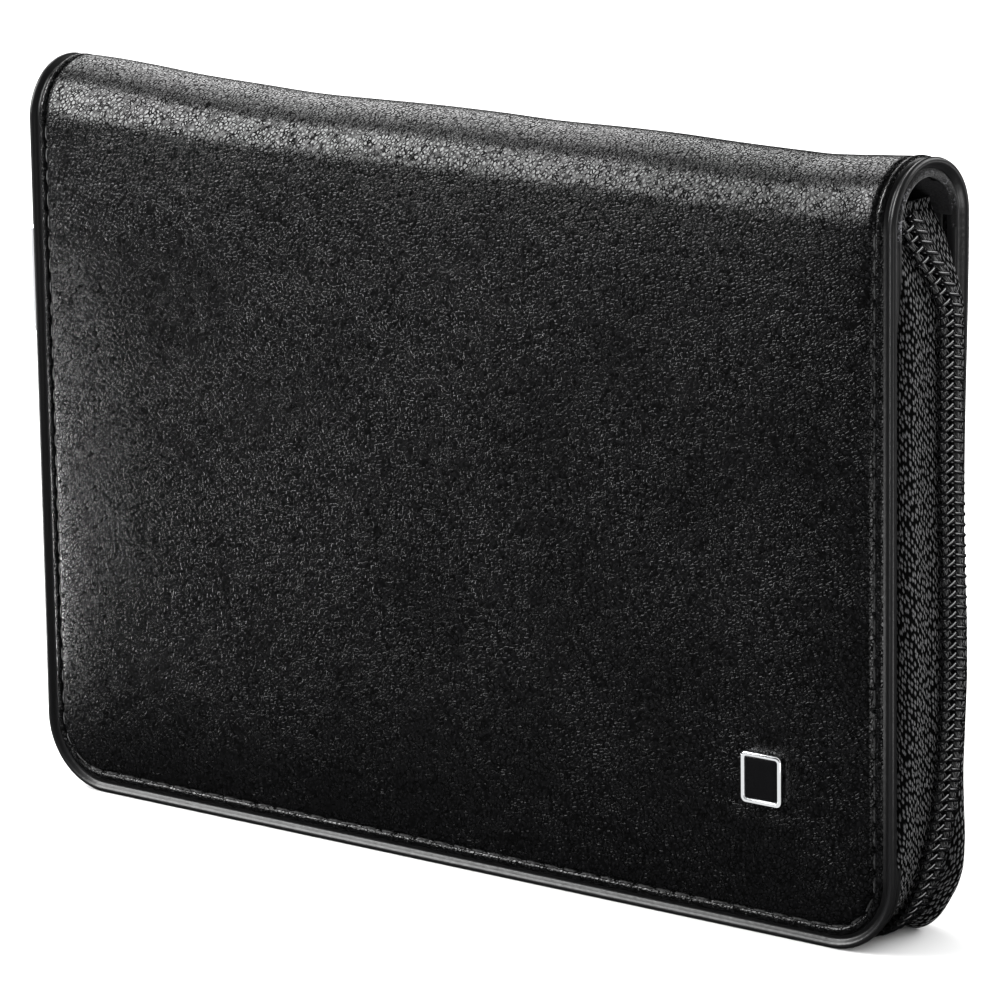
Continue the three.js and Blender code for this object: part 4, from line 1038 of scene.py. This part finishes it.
def badgeLoop(half, radius, y):
    points = []
    for cx, cz, turn in ((1, 1, 0), (-1, 1, 1), (-1, -1, 2), (1, -1, 3)):
        for k in range(badgeCornerSteps + 1):
            angle = (turn + k / badgeCornerSteps) * quarter
            x = cx * (half - radius) + radius * math.cos(angle)
            z = cz * (half + badge["taller"] - radius) + radius * math.sin(angle)
            points.append((badgeSeat["x"] + x, y, badgeSeat["z"] + z))
    return np.array(points)


def badgeFrame():
    outer, face, foot = badgeSeat["half"], badgeSeat["face"], badgeSeat["seat"] + 0.25
    rim, corner = badge["frame"], badge["corner"]
    sections = [(outer - 0.02, corner, foot)]
    sections += [(outer - inward, corner - less, face + height) for inward, less, height in frameSection]
    inside = outer - rim
    sections += [(inside + outward, corner - less, face + height) for outward, less, height in frameInside]
    sections.append((inside, corner - 0.4, foot))
    return ringLoft("badge_rim", [badgeLoop(*section) for section in sections], chrome, around=True)


def badgeInlay():
    half = badgeSeat["half"] - badge["frame"] - 0.02
    level = badgeSeat["face"] + 0.13
    rings = [badgeLoop(half * share, radius, level + lift) for share, radius, lift in plateShares]
    return ringLoft("badge_inlay", rings, enamel)


rim = place(badgeFrame(), "front_cover", "badge_frame", slot="chrome")
place(badgeInlay(), "front_cover", "badge_enamel", slot="enamel")
print("badge made")


# Pads under the leather, boards and linings

layerShape = {"short": 0.15, "corner": 8.0, "middle": 52.0, "lower": 40, "upper": 42}
faceShares = ((0.2, 1.0), (0.5, 0.95), (0.8, 0.7), (0.95, 0.3), (1.0, 0.0))
edgeShares = ((1.003, 0.3), (1.003, 0.7), (1.0, 1.0), (0.95, 1.0), (0.5, 1.0), (0.2, 1.0))
# Depths of the pads and linings from the middle plane, their inset from the edge and their swell
pads = {"outer": 7.45, "inner": 7.16, "inset": 3.0, front: 0.75, back: 0.55}
cloth = {"outer": 6.22, "inner": 5.78, "inset": 2.7}


def roundedLoop(half, bottom, top, radius, count, sideTop, upper):
    # outline of a flat layer with round corners below, from the top left round to the top edge, as (x, z)
    angles = np.linspace(0, quarter, 9)
    corner = np.stack([radius - half - radius * np.cos(angles), bottom + radius - radius * np.sin(angles)], 1)
    heights = np.linspace(sideTop, bottom + radius, 24)[:-1]
    side = np.stack([np.full_like(heights, -half), heights], 1)
    lower = np.linspace(radius - half, half - radius, count)[1:-1]
    mirror = (-1, 1)
    return np.concatenate([
        side, corner, np.stack([lower, np.full_like(lower, bottom)], 1), (corner * mirror)[::-1],
        (side * mirror)[::-1], np.stack([upper, np.full_like(upper, top)], 1),
    ])


def layer(name, side, outer, inner, inset, material, puff):
    # sheet with soft edges: its faces swell a little towards the middle
    half, top = case["halfWidth"] - inset, case["coverTop"] - layerShape["short"]
    upper = np.linspace(half, -half, layerShape["upper"])[1:-1]
    loop = roundedLoop(half, inset, top, layerShape["corner"], layerShape["lower"], top, upper)
    depths = [(share, outer + puff * lift) for share, lift in faceShares]
    depths += [(share, outer - (outer - inner) * drop) for share, drop in edgeShares]
    middle = np.array([0, layerShape["middle"]])
    rings = []
    for share, depth in depths:
        x, z = (middle + (loop - middle) * share).T
        rings.append(np.stack([x, np.full_like(x, side * depth), z], 1))
    return ringLoft(name, rings, material)


# Open-cell polyurethane foam, 0.3 mm cells drawn as they are: dull, with dark pits.
def foamMaterial():
    look = {"foam": "#3c3c3e", "cell": 0.3, "cellDepth": 0.1, "roughness": 0.95}
    made, tree = newMaterial("polyurethane foam")
    cells = addNode(tree, "ShaderNodeTexVoronoi", {
        "Vector": objectPlaces(tree), "Scale": 1 / (look["cell"] * mm),
    })
    return principled(made, {
        "Base Color": linear(look["foam"]), "Roughness": look["roughness"],
        "Normal": bump(tree, cells.outputs["Distance"], look["cellDepth"]),
    })


# Black bookbinding board of dyed waste paper, with short fibres: dull, so its cut edge is lost in the dark
# lining.
def boardMaterial():
    look = {"pulp": "#141414", "fibre": "#262625", "fibreDepth": 0.04, "roughness": 0.9}
    made, tree = newMaterial("black binding board")
    fibres = noise(tree, objectPlaces(tree), 1.5 / mm, 6.0, 0.7)["Fac"]
    return principled(made, {
        "Base Color": colourMix(tree, fibres, look["pulp"], look["fibre"]), "Roughness": look["roughness"],
        "Normal": bump(tree, fibres, look["fibreDepth"]),
    })


foamLook, boardLook = foamMaterial(), boardMaterial()
for side, cover in covers:
    body = cover + "_cover"
    pad = layer(cover + "_foam_pad", side, pads["outer"], pads["inner"], pads["inset"], foamLook, pads[side])
    place(pad, body, cover + "_padding", slot="foam")
    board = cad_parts[cover + "_board"]
    board.data.materials.clear()
    board.data.materials.append(boardLook)
    sheet = layer(cover + "_lining_cloth", side, cloth["outer"], cloth["inner"], cloth["inset"], lining, 0.0)
    place(sheet, body, cover + "_lining", slot="lining_cloth")

archLining = {
    "half": 73.9, "columns": 220, "steps": 28, "overlap": 0.06, "bodyHalf": 68, "taper": 6, "endSag": 0.1,
    "gap": 0.25, "outer": 7.28, "inner": 6.0, "height": 98.9,
}
# Soft rucks of the arch lining: height, waves along X and waves round the arch
wideRuck, fineRuck = (0.07, 0.9, 2), (0.04, 2.3, 5)


def spineLining():
    # cloth glued inside the arch
    x = np.linspace(-archLining["half"], archLining["half"], archLining["columns"])[:, None]
    angle = np.linspace(-archLining["overlap"], math.pi + archLining["overlap"], archLining["steps"])[None, :]
    body = 1 - np.clip((np.abs(x) - archLining["bodyHalf"]) / archLining["taper"], 0, 1)
    sunk = softCurve(np.clip(x, -arch["sagHalf"], arch["sagHalf"]), sagKeys)
    sag = np.where(np.abs(x) < arch["sagHalf"], sunk, archLining["endSag"]) + archLining["gap"]
    ruck = wideRuck[0] * np.sin(x * wideRuck[1] + wideRuck[2] * angle) * np.sin(angle)
    ruck = ruck + fineRuck[0] * np.sin(x * fineRuck[1] + fineRuck[2] * angle)
    rings = []
    for radius, share in ((archLining["outer"], 0), (archLining["inner"], 1)):
        y = -(radius + share * ruck) * np.cos(angle)
        z = archLining["height"] + (radius - sag * body + share * ruck) * np.sin(angle)
        rings.append(np.stack([np.broadcast_to(x, y.shape), y, z], 2))
    return ringLoft("spine_lining_cloth", np.concatenate([rings[0], rings[1][:, ::-1]], 1), lining)


place(spineLining(), "spine", "spine_lining", slot="lining_cloth")
print("pads, boards and linings made")


# Tool panel and slip pocket inside

pocket = {
    "corner": 5.0, "ease": 0.4, "count": 60, "hem": 2.2, "seamLift": 0.12, "seamSink": 0.25, "least": 0.02,
}


def pocketSheet(name, node, side, puffing):
    # cloth panel with round corners below, hemmed all round and a little fuller in the middle
    low, high = boxOf(node)
    near, far = (low[1], high[1]) if side == back else (high[1], low[1])
    half, bottom, top, ease, hem = high[0], low[2], high[2], pocket["ease"], pocket["hem"]
    upper = np.linspace(half - ease, ease - half, pocket["count"])
    loop = roundedLoop(half, bottom, top, pocket["corner"], pocket["count"], top - ease, upper)
    middle, reach = np.array([0, (bottom + top) / 2]), np.array([half, (top - bottom) / 2])
    # the section as (distance in from the edge, share of the thickness): round edge, hem seam, fuller middle
    section = [
        (0.0, 0.9), (0.0, 0.35), (0.12, 0.08), (0.5, 0.0), (hem - 0.35, 0.02), (hem, 0.22),
        (hem + 0.35, 0.05), (hem + 2.0, -puffing * 0.5), (hem + 6.0, -puffing), (20.0, -puffing * 0.9),
    ]
    rings = []
    for inset, deep in section:
        x, z = ((loop - middle) * np.maximum(1 - inset / reach, pocket["least"]) + middle).T
        rings.append(np.stack([x, np.full_like(x, near + (far - near) * deep), z], 1))
    return ringLoft(name, rings, lining)


def panelStitches(name, node, side):
    low, high = boxOf(node)
    near, hem = low[1] if side == back else high[1], pocket["hem"]
    return seam(name, high[0] - hem, low[2] + hem, high[2] - hem, pocket["corner"] - hem,
                near + side * pocket["seamLift"], side * pocket["seamSink"], panelSeam)


place(pocketSheet("tool_panel_cloth", "tool_panel", back, 0.0), "back_cover", "tool_panel",
      slot="lining_cloth")
place(pocketSheet("slip_pocket_cloth", "slip_pocket", front, 0.15), "front_cover", "slip_pocket",
      slot="lining_cloth")
place(panelStitches("tool_panel_stitches", "tool_panel", back), "back_cover", slot="lining_cloth")
place(panelStitches("slip_pocket_stitches", "slip_pocket", front), "front_cover", slot="lining_cloth")
print("panel and pocket made")


# Leather straps over the tools

strap = {
    "thick": 0.55, "foot": 2.4, "gap": 0.02, "points": 61, "riseFrom": 0.75, "riseTo": 0.85,
    "stitchInset": 1.15, "stitchMargin": 0.9, "stitchHalf": 0.7, "stitchDepth": 0.08, "stitchSink": 0.2,
    "stitchRadius": 0.14,
}
# Band section as shares of its half height and of its thickness
strapShares = [
    (-1.0, 0.0), (-0.97, 0.38), (-0.86, 0.5), (-0.5, 0.54), (0, 0.55), (0.5, 0.54), (0.86, 0.5), (0.97, 0.38),
    (1.0, 0.0), (0.97, -0.4), (0.5, -0.5), (-0.5, -0.5), (-0.97, -0.4),
]


def strapBand(node):
    # a skived band, bowed over its tool and sewn down at both feet
    low, high = boxOf(node)
    thick, bottom, top = strap["thick"], low[2], high[2]
    middle, half = (low[0] + high[0]) / 2, (high[0] - low[0]) / 2
    seat, crest = high[1] - thick / 2 - strap["gap"], low[1] + thick / 2 + strap["gap"]
    across = np.linspace(-1, 1, strap["points"]) * half
    rise = smooth(half - np.abs(across), strap["foot"] - strap["riseFrom"], strap["foot"] + strap["riseTo"])
    line = np.stack([across, mix(seat, crest, rise)], 1)
    tangent = np.gradient(line, axis=0)
    tangent /= np.linalg.norm(tangent, axis=1)[:, None]
    normal = np.stack([tangent[:, 1], -tangent[:, 0]], 1)
    normal *= np.sign(-normal[:, 1:])
    points = []
    for up, out in strapShares:
        spot = line + normal * out * thick
        z = np.full(len(across), (bottom + top) / 2 + up * (top - bottom) / 2)
        points.append(np.stack([middle + spot[:, 0], spot[:, 1], z], 1))
    band = ringLoft(node + "_band", np.stack(points, 1), edgeLeather)
    way = np.linspace(-strap["stitchHalf"], strap["stitchHalf"], 7)
    sunk = strap["stitchSink"] * np.abs(way / strap["stitchHalf"]) ** 3
    y = seat - thick / 2 - strap["stitchDepth"] + sunk
    paths = []
    for hand in (-1, 1):
        x = np.full_like(way, middle + hand * (half - strap["stitchInset"]))
        for z in np.linspace(bottom + strap["stitchMargin"], top - strap["stitchMargin"], 3):
            paths.append(np.stack([x, y, z + way], 1))
    return band, tubes(node + "_stitches", paths, strap["stitchRadius"], 6, thread, threadUp)


for node in ("scissors_strap", "tweezers_strap", "nail_file_strap", "cuticle_pusher_strap", "clipper_strap"):
    band, stitches = strapBand(node)
    place(band, "back_cover", node, slot="turned_leather")
    place(stitches, "back_cover", slot="turned_leather")
print("straps made")


# Metal: tools, slider, pull and stops keep their CAD solids, with the edges broken as tumbling leaves them

edgeBreak = {
    "scissors_fixed_half": 0.3, "scissors_moving_half": 0.3, "scissors_screw": 0.12, "tweezers_rear_arm": 0.2,
    "tweezers_front_arm": 0.2, "nail_file": 0.25, "clipper_lower_arm": 0.25, "clipper_upper_arm": 0.25,
    "clipper_pin": 0.12, "clipper_lever": 0.3,
}
chromeBreak = {
    "slider_body": 0.3, "slider_bridge": 0.22, "zip_pull": 0.3, "front_zip_stop": 0.3, "back_zip_stop": 0.3,
}
tumbled = {"weld": 0.001, "segments": 3, "sharpest": 35}


def dress(node, material, width):
    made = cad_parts[node]
    made.data.materials.clear()
    made.data.materials.append(material)
    weld = made.modifiers.new("weld", "WELD")
    weld.merge_threshold = tumbled["weld"] * mm
    bevel = made.modifiers.new("broken edges", "BEVEL")
    bevel.width = width * mm
    bevel.segments = tumbled["segments"]
    bevel.limit_method = "ANGLE"
    bevel.angle_limit = math.radians(tumbled["sharpest"])
    bevel.harden_normals = True
    for face in made.data.polygons:
        face.use_smooth = True
    return made


metalPieces = [dress(node, steel, width) for node, width in edgeBreak.items()]
metalPieces += [dress(node, chrome, width) for node, width in chromeBreak.items()]

# Width and depth of the pusher by its height: blade, neck, handle, neck, spoon
pusherShares = [0, 0.05, 0.12, 0.3, 0.7, 0.86, 0.95, 1]
pusherWidths = [3.6, 4.6, 2.6, 4, 4, 2.6, 5, 3.4]
pusherDepths = [0.9, 1.2, 2.2, 3.6, 3.6, 2.2, 1.2, 0.9]
pusher = {
    "rings": 161, "sides": 28, "blur": 7, "gripDepth": 0.06, "gripLines": 44, "gripHalf": 0.13, "tip": 0.015,
}


def pusherBar():
    # turned handle, flattened to a spoon at the top and a blade at the bottom
    low, high = boxOf("cuticle_pusher")
    x, y = (low[0] + high[0]) / 2, (low[1] + high[1]) / 2
    share = np.linspace(0, 1, pusher["rings"])
    blur = np.ones(pusher["blur"]) / pusher["blur"]
    sizes = []
    for values in (pusherWidths, pusherDepths):
        size = np.interp(share, pusherShares, values)
        for n in range(3):
            size = np.convolve(np.pad(size, pusher["blur"] // 2, "edge"), blur, "valid")
        sizes.append(size)
    fromMiddle = np.abs(share - 0.5)
    ridges = np.clip(np.sin(share * 2 * math.pi * pusher["gripLines"]), 0, 1)
    ridges = ridges * (fromMiddle < pusher["gripHalf"])
    wide, deep = [size - pusher["gripDepth"] * ridges for size in sizes]
    end = ((fromMiddle - (0.5 - pusher["tip"])) / pusher["tip"]).clip(0, 1)
    wide = wide * np.maximum(np.sqrt(np.clip(1 - end ** 2, 0.0, 1)), 0.05)
    angles = np.linspace(0, 2 * math.pi, pusher["sides"] + 1)[:-1]
    rings = []
    for s, w, d in zip(share, wide, deep):
        z = np.full_like(angles, low[2] + s * (high[2] - low[2]))
        rings.append(np.stack([x + w / 2 * np.cos(angles), y + d / 2 * np.sin(angles), z], 1))
    return ringLoft("pusher_bar", rings, steel)


metalPieces += [place(pusherBar(), "back_cover", "cuticle_pusher", slot="steel"), rim]
receivers = bpy.data.collections.new("metal pieces")
for made in metalPieces:
    receivers.objects.link(made)
placeLamps(tent, receivers)
print("metal dressed")
